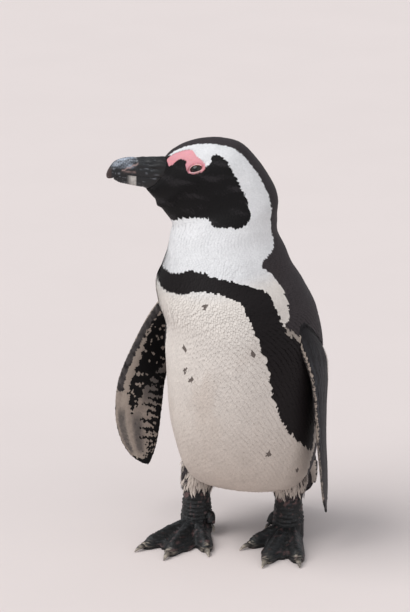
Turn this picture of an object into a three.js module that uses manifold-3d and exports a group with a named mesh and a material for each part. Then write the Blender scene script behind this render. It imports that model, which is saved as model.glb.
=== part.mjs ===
// African penguin, standing, life size, as a still model such as a museum shows.
// Millimetres, +Z up. The trunk faces -Y, the bird's left side is +X, and the floor is Z = 0.
// The solids reach out to the tips of the feathers.

import * as THREE from 'three';
import { mergeVertices } from 'three/addons/utils/BufferGeometryUtils.js';
import Module from 'manifold-3d';

const wasm = await Module();
wasm.setup();

// ---------------------------------------------------------------- driving dimensions

const GAP = 0.3;                 // space left between touching solids
const REACH = 1000;              // size of the blocks that part the body, larger than the bird
const MERGE_DISTANCE = 1e-3;     // points nearer than this are one
const AXIS_SHIFT = new THREE.Vector3(22.3, -7.5, 0);   // trunk axis from the middle of the bird's box

const BODY_SIDES = 32;           // points round the body
const BODY_RINGS = 43;           // rings from vent to bill
const LIMB_SIDES = 14;
const CLAW_SIDES = 7;

// The body is one tube of rings from the vent, up the trunk and neck, over the head to the bill.
// Each ring hangs between a front point (breast, throat, chin) and a back point (spine, nape, crown).
// turn: heading of the ring's mirror plane, from straight ahead towards the bird's right, in degrees
// front: distance ahead of the trunk axis, and height, of the front point
// back: the same of the back point (negative is behind the axis)
// half: half width; full: 2 is an ellipse, more is squarer; taper: how much narrower the front is
// bow: how far the sides lie behind the line from front point to back point; side: shift to the left
const PLAIN_RING = { full: 2.1, taper: 0, bow: 0, side: 0 };
const BODY = [
  { turn: 0, front: [2, 68], back: [-27, 60], half: 14, full: 2 },
  { turn: 0, front: [33, 71.5], back: [-61, 60], half: 46 },
  { turn: 0, front: [54, 80], back: [-80, 67], half: 61 },
  { turn: 0, front: [67, 95.5], back: [-89.5, 84], half: 69 },
  { turn: 0, front: [77, 119], back: [-93.5, 110], half: 74 },
  { turn: 0, front: [86, 151], back: [-94, 144], half: 78 },
  { turn: 0, front: [91, 190], back: [-93.5, 186], half: 79.5, side: 0.5 },
  { turn: 0, front: [94, 228], back: [-91.5, 229], half: 81, side: 1 },
  { turn: 0, front: [96, 258], back: [-84, 267], half: 77, side: -1 },
  { turn: 6, front: [95.5, 281], back: [-68.5, 297], half: 74.5, side: -8 },
  { turn: 20, front: [92, 300], back: [-54, 319], half: 68, side: -11 },
  { turn: 40, front: [87, 317], back: [-43.5, 336], half: 60, side: -5 },
  { turn: 55, front: [82, 334], back: [-35.8, 353], half: 52.5, taper: 0.02, side: -1 },
  { turn: 60, front: [79, 350], back: [-35.2, 372], half: 46, taper: 0.06 },
  { turn: 60, front: [77.5, 360.5], back: [-35.2, 390], half: 41, taper: 0.12 },
  { turn: 60, front: [80, 366.5], back: [-29, 407], half: 37, taper: 0.18 },
  { turn: 60, front: [84.5, 372.5], back: [-13.5, 430.5], half: 34, taper: 0.22 },
  { turn: 60, front: [89.5, 378.5], back: [4, 447.5], half: 31.5, full: 2.05, taper: 0.22, bow: 1.5 },
  { turn: 60, front: [93.5, 382.5], back: [25, 453.5], half: 28.5, full: 1.95, taper: 0.2, bow: 3.5 },
  { turn: 60, front: [95.8, 387.8], back: [45.5, 453], half: 24.5, full: 1.85, taper: 0.15, bow: 5.5 },
  { turn: 60, front: [99.5, 392.2], back: [63, 448.3], half: 19.5, full: 1.8, taper: 0.08, bow: 7 },
  { turn: 60, front: [102.8, 396], back: [76, 441], half: 14.2, full: 1.85, bow: 7.5 },
  { turn: 60, front: [105, 398.4], back: [84, 433.6], half: 9.3, full: 2, bow: 6.5 },
].map((ring) => ({ ...PLAIN_RING, ...ring }));

// Where thin cuts part the body: a height on the trunk axis and how far the cut leans, in degrees.
const NECK_BASE = { up: 306, lean: 8, turn: 20 };
const HEAD_BASE = { up: 366, lean: 13, turn: 60 };

const HEAD_TURN = 60;            // degrees towards the bird's right

// The bill in the head's mirror plane: distance ahead of the trunk axis, and heights.
// top, low: heights of its upper and lower edge; half: half width
const UPPER_BILL = [
  { ahead: 76, top: 432, low: 413, half: 9.5 },
  { ahead: 88, top: 433.4, low: 413, half: 9.3 },
  { ahead: 100, top: 432.8, low: 413, half: 8.6 },
  { ahead: 112, top: 432.8, low: 413.8, half: 7.6 },
  { ahead: 124, top: 432.6, low: 415, half: 6.8 },
  { ahead: 133, top: 430.6, low: 414.8, half: 6 },
  { ahead: 139.5, top: 426.8, low: 411.8, half: 4.8 },
  { ahead: 144.6, top: 419.4, low: 411, half: 3.2 },
  { ahead: 146.6, top: 414.8, low: 412.6, half: 1 },
];
const LOWER_BILL = [
  { ahead: 76, top: 412.4, low: 400, half: 9 },
  { ahead: 88, top: 412.4, low: 399.4, half: 8.8 },
  { ahead: 100, top: 412.4, low: 399, half: 8.1 },
  { ahead: 112, top: 413.2, low: 401, half: 7.1 },
  { ahead: 124, top: 414.4, low: 403.4, half: 6.2 },
  { ahead: 133, top: 414.1, low: 405.4, half: 4.8 },
  { ahead: 138.8, top: 411.3, low: 408.6, half: 2.2 },
];
const BILL_FULL = 2.5;           // squareness of the bill's arch
const BILL_RINGS = 14;
const BILL_SIDES = 14;
const LIP_OVERLAP = 3;           // how much further the two halves' sockets reach into each other

const EYE = { ahead: 49.7, up: 423.8, out: 20.5, radius: 8, sides: 10, rings: 8 };

// A flipper is a blade of sections from shoulder to tip, each from its leading to its trailing edge.
// lead, trail: places of the two edges; thick: thickness of the section
const RIGHT_FLIPPER = [
  { lead: [-49, -9, 284], trail: [-51, 15, 264], thick: 20 },
  { lead: [-82.5, -14.5, 274], trail: [-75.5, 26.5, 246], thick: 19 },
  { lead: [-106.5, -12.5, 252], trail: [-90.5, 26.5, 220], thick: 15 },
  { lead: [-127.5, -18.5, 212], trail: [-99.5, 15.5, 196], thick: 11 },
  { lead: [-143.5, -25.5, 168], trail: [-104.5, 7.5, 163], thick: 9 },
  { lead: [-147.5, -26.5, 130], trail: [-107.5, 5, 130], thick: 7.5 },
  { lead: [-143.5, -24.5, 102], trail: [-109.5, 2, 104], thick: 6 },
  { lead: [-135.5, -18.5, 82], trail: [-112.5, -2, 84], thick: 4.5 },
  { lead: [-125.5, -12.5, 71.5], trail: [-115.5, -5.5, 72], thick: 3 },
];
const LEFT_FLIPPER = [
  { lead: [40, -4, 276], trail: [44, 16, 262], thick: 20 },
  { lead: [66, -17, 264], trail: [66, 24, 246], thick: 18 },
  { lead: [82, -19, 234], trail: [79, 37, 218], thick: 14 },
  { lead: [90, -12, 202], trail: [82, 38.5, 193], thick: 10.5 },
  { lead: [94, -9.5, 163], trail: [83, 34, 160], thick: 9 },
  { lead: [97, -8, 125], trail: [85, 30, 125], thick: 7.5 },
  { lead: [100, -7, 92], trail: [88.5, 27, 94], thick: 6 },
  { lead: [101.5, -5, 68], trail: [93.3, 19.5, 70], thick: 4.5 },
  { lead: [102.5, -1, 54], trail: [97.5, 9, 56], thick: 3 },
];

const FLIPPER_RINGS = 17;
const LENS_FRONT = 1.25;         // fullness of a flipper's section towards its leading edge
const LENS_BACK = 0.75;          // and towards its trailing edge

// The tail is a wedge from the rump down to its tip.
// at: middle of a section; half: half width; thick: thickness
const TAIL = [
  { at: [0, 62, 122], half: 48, thick: 44 },
  { at: [0, 74, 94], half: 46, thick: 40 },
  { at: [0, 90, 66], half: 43, thick: 25 },
  { at: [0, 103, 44], half: 36, thick: 13 },
  { at: [0, 112, 26], half: 25, thick: 6.5 },
  { at: [0, 116, 15], half: 9, thick: 2.5 },
];
const TAIL_RINGS = 12;
const TANGENT_STEP = 0.02;       // share of a blade's length over which its direction is taken

// Each leg: places on the floor of the hip, the ankle and the end of each toe, and the side that
// the hind toe is on (1 is the bird's left).
const LEGS = {
  right: {
    hip: [-50, 2], ankle: [-55, -7], hindSide: 1,
    toes: { outer: [-78, -85], middle: [-43, -90], inner: [-12, -59] },
  },
  left: {
    hip: [42, 24], ankle: [42, 27], hindSide: -1,
    toes: { outer: [89, -37], middle: [59, -56], inner: [20, -24] },
  },
};
const SHIN = { top: 92, low: 50, topRadius: 24, middleRadius: 21.5, lowRadius: 17, rings: 8 };
const SHIN_HEM = 55.15;          // height of the cut between feathered shin and bare tarsus
const TARSUS = { top: 55, low: 17.3, topRadius: 14.5, middleRadius: 15.6, lowRadius: 17.3, rings: 8 };

// A foot is a web that falls from the ankle to a scalloped edge, with a ridge along each toe.
const FOOT = {
  heelReach: 17, heelHalf: 18, heelRound: 10.2, heelRoundHalf: 14.4, heelFront: 4,
  tipHalf: 5.5, knuckleHalf: 9.5, knuckleBack: 16, webSag: 0.86,
  rootUp: 17, edgeUp: 4.5, ridgeUp: 7, ridgeHalf: 7.5, sides: 44,
};
// Its surface from the ankle out to the rim and under: share of the way out, share of its height.
const FOOT_RINGS = [[0.1, 1], [0.4, 1], [0.72, 1], [0.92, 0.95], [1, 0.4], [0.97, 0]];

// A claw from its root inside the toe (negative ahead) to its point, along the toe and up.
const CLAW = [
  { ahead: -5, up: 3.9, radius: 3.2 },
  { ahead: 2.4, up: 4.4, radius: 2.9 },
  { ahead: 7.4, up: 3.2, radius: 1.9 },
  { ahead: 12, up: 1, radius: 0.6 },
];
const CLAW_RINGS = 6;

// The small hind toe and its claw: places from the ankle's axis, out to the toe's side, and back.
const HIND_TOE = [
  { out: 9, back: 3, up: 22, radius: 4 },
  { out: 17, back: 0, up: 22, radius: 5.5 },
  { out: 21, back: -4, up: 14, radius: 4.2 },
];
const HIND_CLAW = [
  { out: 21, back: -4, up: 13, radius: 1.8 },
  { out: 24.2, back: -5, up: 10.5, radius: 1.5 },
  { out: 25.5, back: -6, up: 6, radius: 0.5 },
];
const HIND_TOE_RINGS = 7;
const HIND_TOE_SIDES = 10;
const HIND_CLAW_RINGS = 5;

const UPWARD = new THREE.Vector3(0, 0, 1);
const BACKWARD = new THREE.Vector3(0, 1, 0);

// ---------------------------------------------------------------- colours

const PLUMAGE_BLACK = { color: 0x1c1a1c, roughness: 0.85, metalness: 0 };
const PLUMAGE_WHITE = { color: 0xe6e2dc, roughness: 0.9, metalness: 0 };
const BILL_HORN = { color: 0x34363c, roughness: 0.45, metalness: 0 };
const CLAW_HORN = { color: 0x2b2625, roughness: 0.5, metalness: 0 };
const FOOT_SKIN = { color: 0x232427, roughness: 0.7, metalness: 0 };
const EYE_GLOSS = { color: 0x1d120d, roughness: 0.05, metalness: 0 };

// ---------------------------------------------------------------- helpers

// Smooth curve through evenly spaced values (Catmull-Rom); place runs from 0 to the last index.
function curveThrough(values, place) {
  const last = values.length - 1;
  const i = Math.min(Math.floor(place), last - 1);
  const t = place - i;
  const before = values[Math.max(i - 1, 0)];
  const start = values[i];
  const end = values[i + 1];
  const after = values[Math.min(i + 2, last)];
  const slope = end - before;
  const bend = 2 * before - 5 * start + 4 * end - after;
  const twist = 3 * (start - end) + after - before;
  return start + 0.5 * t * (slope + t * (bend + t * twist));
}

// What pick takes from each station, smoothed along them; share runs from 0 to 1.
function valueAt(stations, share, pick) {
  return curveThrough(stations.map(pick), share * (stations.length - 1));
}

function pointAt(stations, share, key) {
  const [x, y, z] = [0, 1, 2].map((axis) => valueAt(stations, share, (station) => station[key][axis]));
  return new THREE.Vector3(x, y, z);
}

// Direction of the line through the stations' points.
function directionAt(stations, share, key) {
  const ahead = pointAt(stations, Math.min(share + TANGENT_STEP, 1), key);
  return ahead.sub(pointAt(stations, Math.max(share - TANGENT_STEP, 0), key)).normalize();
}

// Sine or cosine squared off: power 2 gives a circle, more gives a squarer section.
function squareOff(value, power) {
  return Math.sign(value) * Math.abs(value) ** (2 / power);
}

// A closed tube: rings of points, each end closed by a fan to the middle of its last ring.
function tube(rings, sides, surface) {
  const points = [];
  for (let ring = 0; ring < rings; ring += 1) {
    for (let side = 0; side < sides; side += 1) {
      points.push(surface(ring / (rings - 1), (side / sides) * 2 * Math.PI));
    }
  }
  const middle = (first) => points
    .slice(first, first + sides)
    .reduce((sum, point) => sum.add(point), new THREE.Vector3())
    .divideScalar(sides);
  const lastRing = (rings - 1) * sides;
  const startPole = points.length;
  const endPole = startPole + 1;
  points.push(middle(0), middle(lastRing));
  const faces = [];
  for (let side = 0; side < sides; side += 1) {
    const next = (side + 1) % sides;
    for (let first = 0; first < lastRing; first += sides) {
      const [a, b, c, d] = [first + side, first + next, first + sides + next, first + sides + side];
      faces.push(a, b, c, a, c, d);
    }
    faces.push(startPole, next, side);
    faces.push(endPole, lastRing + side, lastRing + next);
  }
  const geometry = new THREE.BufferGeometry().setFromPoints(points);
  geometry.setIndex(faces);
  return geometry;
}

// The closed solid that a geometry bounds.
function solid(geometry) {
  const bare = geometry.clone();
  bare.deleteAttribute('normal');
  bare.deleteAttribute('uv');
  const merged = mergeVertices(bare, MERGE_DISTANCE);
  return new wasm.Manifold(new wasm.Mesh({
    numProp: 3,
    vertProperties: new Float32Array(merged.attributes.position.array),
    triVerts: new Uint32Array(merged.index.array),
  }));
}

function geometryOf(shape) {
  const mesh = shape.getMesh();
  const geometry = new THREE.BufferGeometry();
  geometry.setAttribute('position', new THREE.BufferAttribute(new Float32Array(mesh.vertProperties), 3));
  geometry.setIndex(new THREE.BufferAttribute(new Uint32Array(mesh.triVerts), 1));
  geometry.computeVertexNormals();
  return geometry;
}

// A block that fills all space on the side of a plane that its normal points to.
function halfSpace(point, normal) {
  const block = new THREE.BoxGeometry(REACH, REACH, REACH);
  block.translate(0, 0, REACH / 2);
  const facing = new THREE.Quaternion().setFromUnitVectors(UPWARD, normal);
  block.applyQuaternion(facing);
  block.translate(point.x, point.y, point.z);
  return solid(block);
}

// Parts a solid by a plane, leaving the gap between the two pieces: [below, above].
function part(shape, point, normal) {
  const shift = normal.clone().multiplyScalar(GAP / 2);
  const above = shape.intersect(halfSpace(point.clone().add(shift), normal));
  const below = shape.intersect(halfSpace(point.clone().sub(shift), normal.clone().negate()));
  return [below, above];
}

// Directions of a mirror plane turned to the bird's right: ahead, and out to the bird's left.
function headingOf(turnDegrees) {
  const turn = THREE.MathUtils.degToRad(turnDegrees);
  return {
    ahead: new THREE.Vector3(-Math.sin(turn), -Math.cos(turn), 0),
    left: new THREE.Vector3(Math.cos(turn), -Math.sin(turn), 0),
  };
}

// ---------------------------------------------------------------- body

// A point of the body: share runs from the vent (0) to the bill (1), angle runs round the ring
// from the front point through the bird's left side. grow moves the surface outwards.
function bodyPoint(share, angle, grow) {
  const value = (pick) => valueAt(BODY, share, pick);
  const { ahead, left } = headingOf(value((ring) => ring.turn));
  const hang = (key) => ahead.clone()
    .multiplyScalar(value((ring) => ring[key][0]))
    .setZ(value((ring) => ring[key][1]));
  const front = hang('front');
  const back = hang('back');
  const spine = front.clone().sub(back);
  const reach = spine.length() / 2 + grow;
  spine.normalize();
  const behind = new THREE.Vector3().crossVectors(left, spine);
  const full = value((ring) => ring.full);
  const along = squareOff(Math.cos(angle), full);
  const across = squareOff(Math.sin(angle), full);
  const half = (value((ring) => ring.half) + grow) * (1 - value((ring) => ring.taper) * along);
  return front.add(back).divideScalar(2)
    .addScaledVector(spine, along * reach)
    .addScaledVector(left, across * half + value((ring) => ring.side))
    .addScaledVector(behind, across * across * value((ring) => ring.bow));
}

function bodySolid(grow) {
  return solid(tube(BODY_RINGS, BODY_SIDES, (share, angle) => bodyPoint(share, angle, grow)));
}

function cutPlane({ up, lean, turn }) {
  const { ahead } = headingOf(turn);
  const tilt = THREE.MathUtils.degToRad(lean);
  const normal = new THREE.Vector3(0, 0, Math.cos(tilt)).addScaledVector(ahead, Math.sin(tilt));
  return [new THREE.Vector3(0, 0, up), normal.normalize()];
}

// ---------------------------------------------------------------- head

// A point given in the head's mirror plane: ahead, out to the left, and up.
function headPoint(ahead, out, up) {
  const heading = headingOf(HEAD_TURN);
  return heading.ahead.clone().multiplyScalar(ahead)
    .addScaledVector(heading.left, out)
    .setZ(up);
}

// Half of the bill: an arch that stands on the lip line, for the upper bill, or hangs from it.
// rise: 1 where the arch is above the lip line, -1 where it is below.
function billSolid(stations, rise, grow) {
  return solid(tube(BILL_RINGS, BILL_SIDES, (share, angle) => {
    const value = (key) => valueAt(stations, share, (station) => station[key]);
    const lip = value(rise > 0 ? 'low' : 'top') - rise * grow * LIP_OVERLAP;
    const crest = value(rise > 0 ? 'top' : 'low') + rise * grow;
    const height = Math.max(-Math.cos(angle) * rise, 0);
    const out = squareOff(Math.sin(angle), BILL_FULL) * (value('half') + grow);
    const up = lip + (crest - lip) * squareOff(height, BILL_FULL);
    return headPoint(value('ahead') - (share === 0 ? grow : 0), out, up);
  }));
}

function eyeSolid(side, grow) {
  const ball = new THREE.SphereGeometry(EYE.radius + grow, EYE.sides, EYE.rings);
  const place = headPoint(EYE.ahead, side * EYE.out, EYE.up);
  ball.translate(place.x, place.y, place.z);
  return solid(ball);
}

// ---------------------------------------------------------------- flippers and tail

// A blade section between its two edges: lens-shaped, fuller towards the leading one.
function flipperSolid(stations) {
  return solid(tube(FLIPPER_RINGS, LIMB_SIDES, (share, angle) => {
    const lead = pointAt(stations, share, 'lead');
    const chord = pointAt(stations, share, 'trail').sub(lead);
    const out = directionAt(stations, share, 'lead').cross(chord).normalize();
    const back = (1 - Math.cos(angle)) / 2;
    const lens = Math.sin(angle) * THREE.MathUtils.lerp(LENS_FRONT, LENS_BACK, back);
    const thick = valueAt(stations, share, (station) => station.thick);
    return lead.addScaledVector(chord, back).addScaledVector(out, (-lens * thick) / 2);
  }));
}

function tailSolid() {
  return solid(tube(TAIL_RINGS, LIMB_SIDES, (share, angle) => {
    const across = new THREE.Vector3(1, 0, 0);
    const out = directionAt(TAIL, share, 'at').cross(across).normalize();
    const half = valueAt(TAIL, share, (station) => station.half);
    const thick = valueAt(TAIL, share, (station) => station.thick);
    return pointAt(TAIL, share, 'at')
      .addScaledVector(across, Math.cos(angle) * half)
      .addScaledVector(out, (Math.sin(angle) * thick) / 2);
  }));
}

// ---------------------------------------------------------------- legs and feet

// A closed tube of round sections along a smooth curve through the stops. aside: any direction
// that the curve doesn't run in, from which its sections are turned.
function taperedTube(stops, aside, sides, rings, grow = 0) {
  const places = new THREE.CatmullRomCurve3(stops.map(({ at }) => new THREE.Vector3(...at)));
  return solid(tube(rings, sides, (share, angle) => {
    const along = places.getTangent(share);
    const side = aside.clone().cross(along).normalize();
    const rise = along.clone().cross(side);
    const radius = valueAt(stops, share, (stop) => stop.radius) + grow;
    return places.getPoint(share)
      .addScaledVector(side, Math.cos(angle) * radius)
      .addScaledVector(rise, Math.sin(angle) * radius);
  }));
}

function shinSolid({ hip, ankle }) {
  const halfWay = [(hip[0] + ankle[0]) / 2, (hip[1] + ankle[1]) / 2, (SHIN.top + SHIN.low) / 2];
  return taperedTube([
    { at: [...hip, SHIN.top], radius: SHIN.topRadius },
    { at: halfWay, radius: SHIN.middleRadius },
    { at: [...ankle, SHIN.low], radius: SHIN.lowRadius },
  ], BACKWARD, LIMB_SIDES, SHIN.rings);
}

function tarsusSolid({ ankle }, grow) {
  return taperedTube([
    { at: [...ankle, TARSUS.top], radius: TARSUS.topRadius },
    { at: [...ankle, (TARSUS.top + TARSUS.low) / 2], radius: TARSUS.middleRadius },
    { at: [...ankle, TARSUS.low], radius: TARSUS.lowRadius },
  ], BACKWARD, LIMB_SIDES, TARSUS.rings, grow);
}

// Directions of a toe on the floor: along it, and across it to the right of it.
function toeHeading(ankle, tip) {
  const along = new THREE.Vector2(tip[0] - ankle[0], tip[1] - ankle[1]).normalize();
  return { along, across: new THREE.Vector2(-along.y, along.x) };
}

// The foot's outline on the floor, a smooth closed curve round heel, toe tips and web edges.
function footOutline({ ankle, toes }) {
  const centre = new THREE.Vector2(...ankle);
  const tips = [toes.outer, toes.middle, toes.inner];
  const turn = Math.sign((tips[0][0] - ankle[0]) * (tips[2][1] - ankle[1])
    - (tips[0][1] - ankle[1]) * (tips[2][0] - ankle[0]));
  const ahead = toeHeading(ankle, toes.middle);
  const spot = (heading, far, out) => centre.clone()
    .addScaledVector(heading.along, far)
    .addScaledVector(heading.across, out * turn);
  const points = [
    spot(ahead, -FOOT.heelReach, 0),
    spot(ahead, -FOOT.heelRound, -FOOT.heelRoundHalf),
    spot(ahead, FOOT.heelFront, -FOOT.heelHalf),
  ];
  tips.forEach((tip, place) => {
    const heading = toeHeading(ankle, tip);
    const reach = centre.distanceTo(new THREE.Vector2(...tip));
    if (place > 0) {
      const before = new THREE.Vector2(...tips[place - 1]);
      const web = before.add(new THREE.Vector2(...tip)).divideScalar(2);
      points.push(centre.clone().lerp(web, FOOT.webSag));
    }
    points.push(
      spot(heading, reach - FOOT.knuckleBack, -FOOT.knuckleHalf),
      spot(heading, reach - FOOT.tipHalf / 2, -FOOT.tipHalf),
      spot(heading, reach, 0),
      spot(heading, reach - FOOT.tipHalf / 2, FOOT.tipHalf),
      spot(heading, reach - FOOT.knuckleBack, FOOT.knuckleHalf),
    );
  });
  points.push(
    spot(ahead, FOOT.heelFront, FOOT.heelHalf),
    spot(ahead, -FOOT.heelRound, FOOT.heelRoundHalf),
  );
  const flat = points.map(({ x, y }) => new THREE.Vector3(x, y, 0));
  if (turn > 0) flat.reverse();
  return new THREE.CatmullRomCurve3(flat, true, 'centripetal');
}

// Height of the foot at a place on the floor: the web's fall, plus a rounded ridge along each toe.
function footHeight(leg, place, share) {
  const centre = new THREE.Vector2(...leg.ankle);
  const web = THREE.MathUtils.lerp(FOOT.rootUp, FOOT.edgeUp, share);
  let ridge = 0;
  for (const tip of Object.values(leg.toes)) {
    const { along, across } = toeHeading(leg.ankle, tip);
    const from = new THREE.Vector2(place.x, place.y).sub(centre);
    const off = from.dot(across) / FOOT.ridgeHalf;
    const ahead = from.dot(along) > 0 ? 1 : 0;
    ridge = Math.max(ridge, ahead * FOOT.ridgeUp * Math.exp(-off * off));
  }
  return Math.min(web + ridge, FOOT.rootUp);
}

function footSolid(leg) {
  const outline = footOutline(leg);
  const centre = new THREE.Vector3(...leg.ankle, 0);
  const lastRing = FOOT_RINGS.length - 1;
  return solid(tube(FOOT_RINGS.length, FOOT.sides, (share, angle) => {
    const [reach, rise] = FOOT_RINGS[Math.round(share * lastRing)];
    const rim = outline.getPointAt((angle / (2 * Math.PI)) % 1);
    const place = centre.clone().lerp(rim, reach);
    return place.setZ(rise * footHeight(leg, place, reach));
  }));
}

function clawSolid(ankle, tip, grow) {
  const { along } = toeHeading(ankle, tip);
  const stops = CLAW.map(({ ahead, up, radius }) => (
    { at: [tip[0] + along.x * ahead, tip[1] + along.y * ahead, up], radius }));
  return taperedTube(stops, UPWARD, CLAW_SIDES, CLAW_RINGS, grow);
}

// Stops given from the ankle's axis, turned to the side that the hind toe is on.
function hindStops({ ankle, hindSide }, stops) {
  return stops.map(({ out, back, up, radius }) => (
    { at: [ankle[0] + hindSide * out, ankle[1] + back, up], radius }));
}

function hindToeSolid(leg) {
  return taperedTube(hindStops(leg, HIND_TOE), UPWARD, HIND_TOE_SIDES, HIND_TOE_RINGS);
}

function hindClawSolid(leg, grow) {
  return taperedTube(hindStops(leg, HIND_CLAW), BACKWARD, CLAW_SIDES, HIND_CLAW_RINGS, grow);
}

// ---------------------------------------------------------------- assembly

const bird = new THREE.Group();

function addPiece(name, shape, look) {
  const mesh = new THREE.Mesh(geometryOf(shape), new THREE.MeshStandardMaterial(look));
  mesh.name = name;
  bird.add(mesh);
}

const body = bodySolid(0);
const bodyKeepOut = bodySolid(GAP);
const [trunk, upperBody] = part(body, ...cutPlane(NECK_BASE));
const [neck, headWhole] = part(upperBody, ...cutPlane(HEAD_BASE));
const eyeSockets = eyeSolid(1, GAP).add(eyeSolid(-1, GAP));
const billSocket = billSolid(UPPER_BILL, 1, GAP).add(billSolid(LOWER_BILL, -1, GAP));

addPiece('trunk', trunk, PLUMAGE_WHITE);
addPiece('neck', neck, PLUMAGE_WHITE);
addPiece('head', headWhole.subtract(eyeSockets).subtract(billSocket), PLUMAGE_BLACK);
addPiece('eye_left', eyeSolid(1, 0), EYE_GLOSS);
addPiece('eye_right', eyeSolid(-1, 0), EYE_GLOSS);
addPiece('bill_upper', billSolid(UPPER_BILL, 1, 0), BILL_HORN);
addPiece('bill_lower', billSolid(LOWER_BILL, -1, 0), BILL_HORN);
addPiece('flipper_right', flipperSolid(RIGHT_FLIPPER).subtract(bodyKeepOut), PLUMAGE_BLACK);
addPiece('flipper_left', flipperSolid(LEFT_FLIPPER).subtract(bodyKeepOut), PLUMAGE_BLACK);
addPiece('tail', tailSolid().subtract(bodyKeepOut), PLUMAGE_BLACK);

for (const [side, leg] of Object.entries(LEGS)) {
  const clawRoots = Object.values(leg.toes)
    .map((tip) => clawSolid(leg.ankle, tip, GAP))
    .reduce((all, claw) => all.add(claw));
  const [, shin] = part(shinSolid(leg), new THREE.Vector3(0, 0, SHIN_HEM), UPWARD);
  addPiece(`shin_${side}`, shin.subtract(bodyKeepOut), PLUMAGE_WHITE);
  addPiece(`tarsus_${side}`, tarsusSolid(leg, 0), FOOT_SKIN);
  addPiece(`foot_${side}`, footSolid(leg).subtract(clawRoots), FOOT_SKIN);
  const hindToe = hindToeSolid(leg).subtract(tarsusSolid(leg, GAP));
  addPiece(`hind_toe_${side}`, hindToe.subtract(hindClawSolid(leg, GAP)), FOOT_SKIN);
  addPiece(`hind_claw_${side}`, hindClawSolid(leg, 0), CLAW_HORN);
  for (const [toe, tip] of Object.entries(leg.toes)) {
    addPiece(`claw_${toe}_${side}`, clawSolid(leg.ankle, tip, 0), CLAW_HORN);
  }
}

const model = new THREE.Group();
bird.position.copy(AXIS_SHIFT);
model.add(bird);

export default model;
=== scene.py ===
"""African penguin, standing, as a still life-size museum model.

Surfaces are worked out in millimetres round the trunk's upright axis, with the trunk facing -Y and
the bird's left side at +X, and are brought to metres in the frame's own place at the very end.
"""

import math
from functools import partial

import bpy
import numpy as np
from bpy.props import FloatProperty, FloatVectorProperty, PointerProperty
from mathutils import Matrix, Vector
from mathutils.bvhtree import BVHTree


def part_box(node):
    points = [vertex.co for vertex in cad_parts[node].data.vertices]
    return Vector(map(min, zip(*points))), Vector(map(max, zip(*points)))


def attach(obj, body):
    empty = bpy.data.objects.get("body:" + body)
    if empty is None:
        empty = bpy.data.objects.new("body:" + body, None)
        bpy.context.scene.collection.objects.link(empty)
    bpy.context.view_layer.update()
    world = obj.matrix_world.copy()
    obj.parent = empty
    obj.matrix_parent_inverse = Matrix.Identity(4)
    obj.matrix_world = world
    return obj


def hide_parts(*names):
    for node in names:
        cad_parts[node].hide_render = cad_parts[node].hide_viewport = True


bl_info = {
    "name": "African Penguin",
    "version": (1, 0, 0),
    "blender": (4, 5, 0),
    "location": "View3D > Sidebar > Penguin",
    "description": "Builds the skin, coat, eyes, bill, claws and stage of a standing African penguin",
    "category": "Object",
}

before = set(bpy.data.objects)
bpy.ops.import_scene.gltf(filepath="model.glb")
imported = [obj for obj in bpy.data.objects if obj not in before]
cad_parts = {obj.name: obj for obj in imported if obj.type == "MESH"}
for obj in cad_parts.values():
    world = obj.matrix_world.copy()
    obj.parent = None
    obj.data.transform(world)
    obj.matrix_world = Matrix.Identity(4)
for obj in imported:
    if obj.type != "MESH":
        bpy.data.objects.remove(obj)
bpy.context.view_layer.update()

MM = 0.001
SEED = 21


def centre_of(node):
    """Middle of a node's box, in millimetres."""
    low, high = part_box(node)
    return (np.array(low) + np.array(high)) / 2 / MM


# ---------------------------------------------------------------- form of the bird, in millimetres

# Rings of the body from the vent (0), up the trunk and neck, over the head to the bill (22). Each
# hangs between a front point (breast, throat, chin) and a back point (spine, nape, crown).
# turn: heading to the bird's right in degrees; front and back: place ahead of the axis, height;
# half: half width; full: squareness (2 is an ellipse); taper: narrowing of the front;
# bow: how far the sides lie behind the line from front to back; side: shift to the left
BODY = np.array([
    (0, 2, 68, -27, 60, 14, 2, 0, 0, 0),
    (0, 33, 71.5, -61, 60, 46, 2.1, 0, 0, 0),
    (0, 54, 80, -80, 67, 61, 2.1, 0, 0, 0),
    (0, 67, 95.5, -89.5, 84, 69, 2.1, 0, 0, 0),
    (0, 77, 119, -93.5, 110, 74, 2.1, 0, 0, 0),
    (0, 86, 151, -94, 144, 78, 2.1, 0, 0, 0),
    (0, 91, 190, -93.5, 186, 79.5, 2.1, 0, 0, 0.5),
    (0, 94, 228, -91.5, 229, 81, 2.1, 0, 0, 1),
    (0, 96, 258, -84, 267, 77, 2.1, 0, 0, -1),
    (6, 95.5, 281, -68.5, 297, 74.5, 2.1, 0, 0, -8),
    (20, 92, 300, -54, 319, 68, 2.1, 0, 0, -11),
    (40, 87, 317, -43.5, 336, 60, 2.1, 0, 0, -5),
    (55, 82, 334, -35.8, 353, 52.5, 2.1, 0.02, 0, -1),
    (60, 79, 350, -35.2, 372, 46, 2.1, 0.06, 0, 0),
    (60, 77.5, 360.5, -35.2, 390, 41, 2.1, 0.12, 0, 0),
    (60, 80, 366.5, -29, 407, 37, 2.1, 0.18, 0, 0),
    (60, 84.5, 372.5, -13.5, 430.5, 34, 2.1, 0.22, 0, 0),
    (60, 89.5, 378.5, 4, 447.5, 31.5, 2.05, 0.22, 1.5, 0),
    (60, 93.5, 382.5, 25, 453.5, 28.5, 1.95, 0.2, 3.5, 0),
    (60, 95.8, 387.8, 45.5, 453, 24.5, 1.85, 0.15, 5.5, 0),
    (60, 99.5, 392.2, 63, 448.3, 19.5, 1.8, 0.08, 7, 0),
    (60, 102.8, 396, 76, 441, 14.2, 1.85, 0, 7.5, 0),
    (60, 105, 398.4, 84, 433.6, 9.3, 2, 0, 6.5, 0),
])
LAST_RING = len(BODY) - 1

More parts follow.
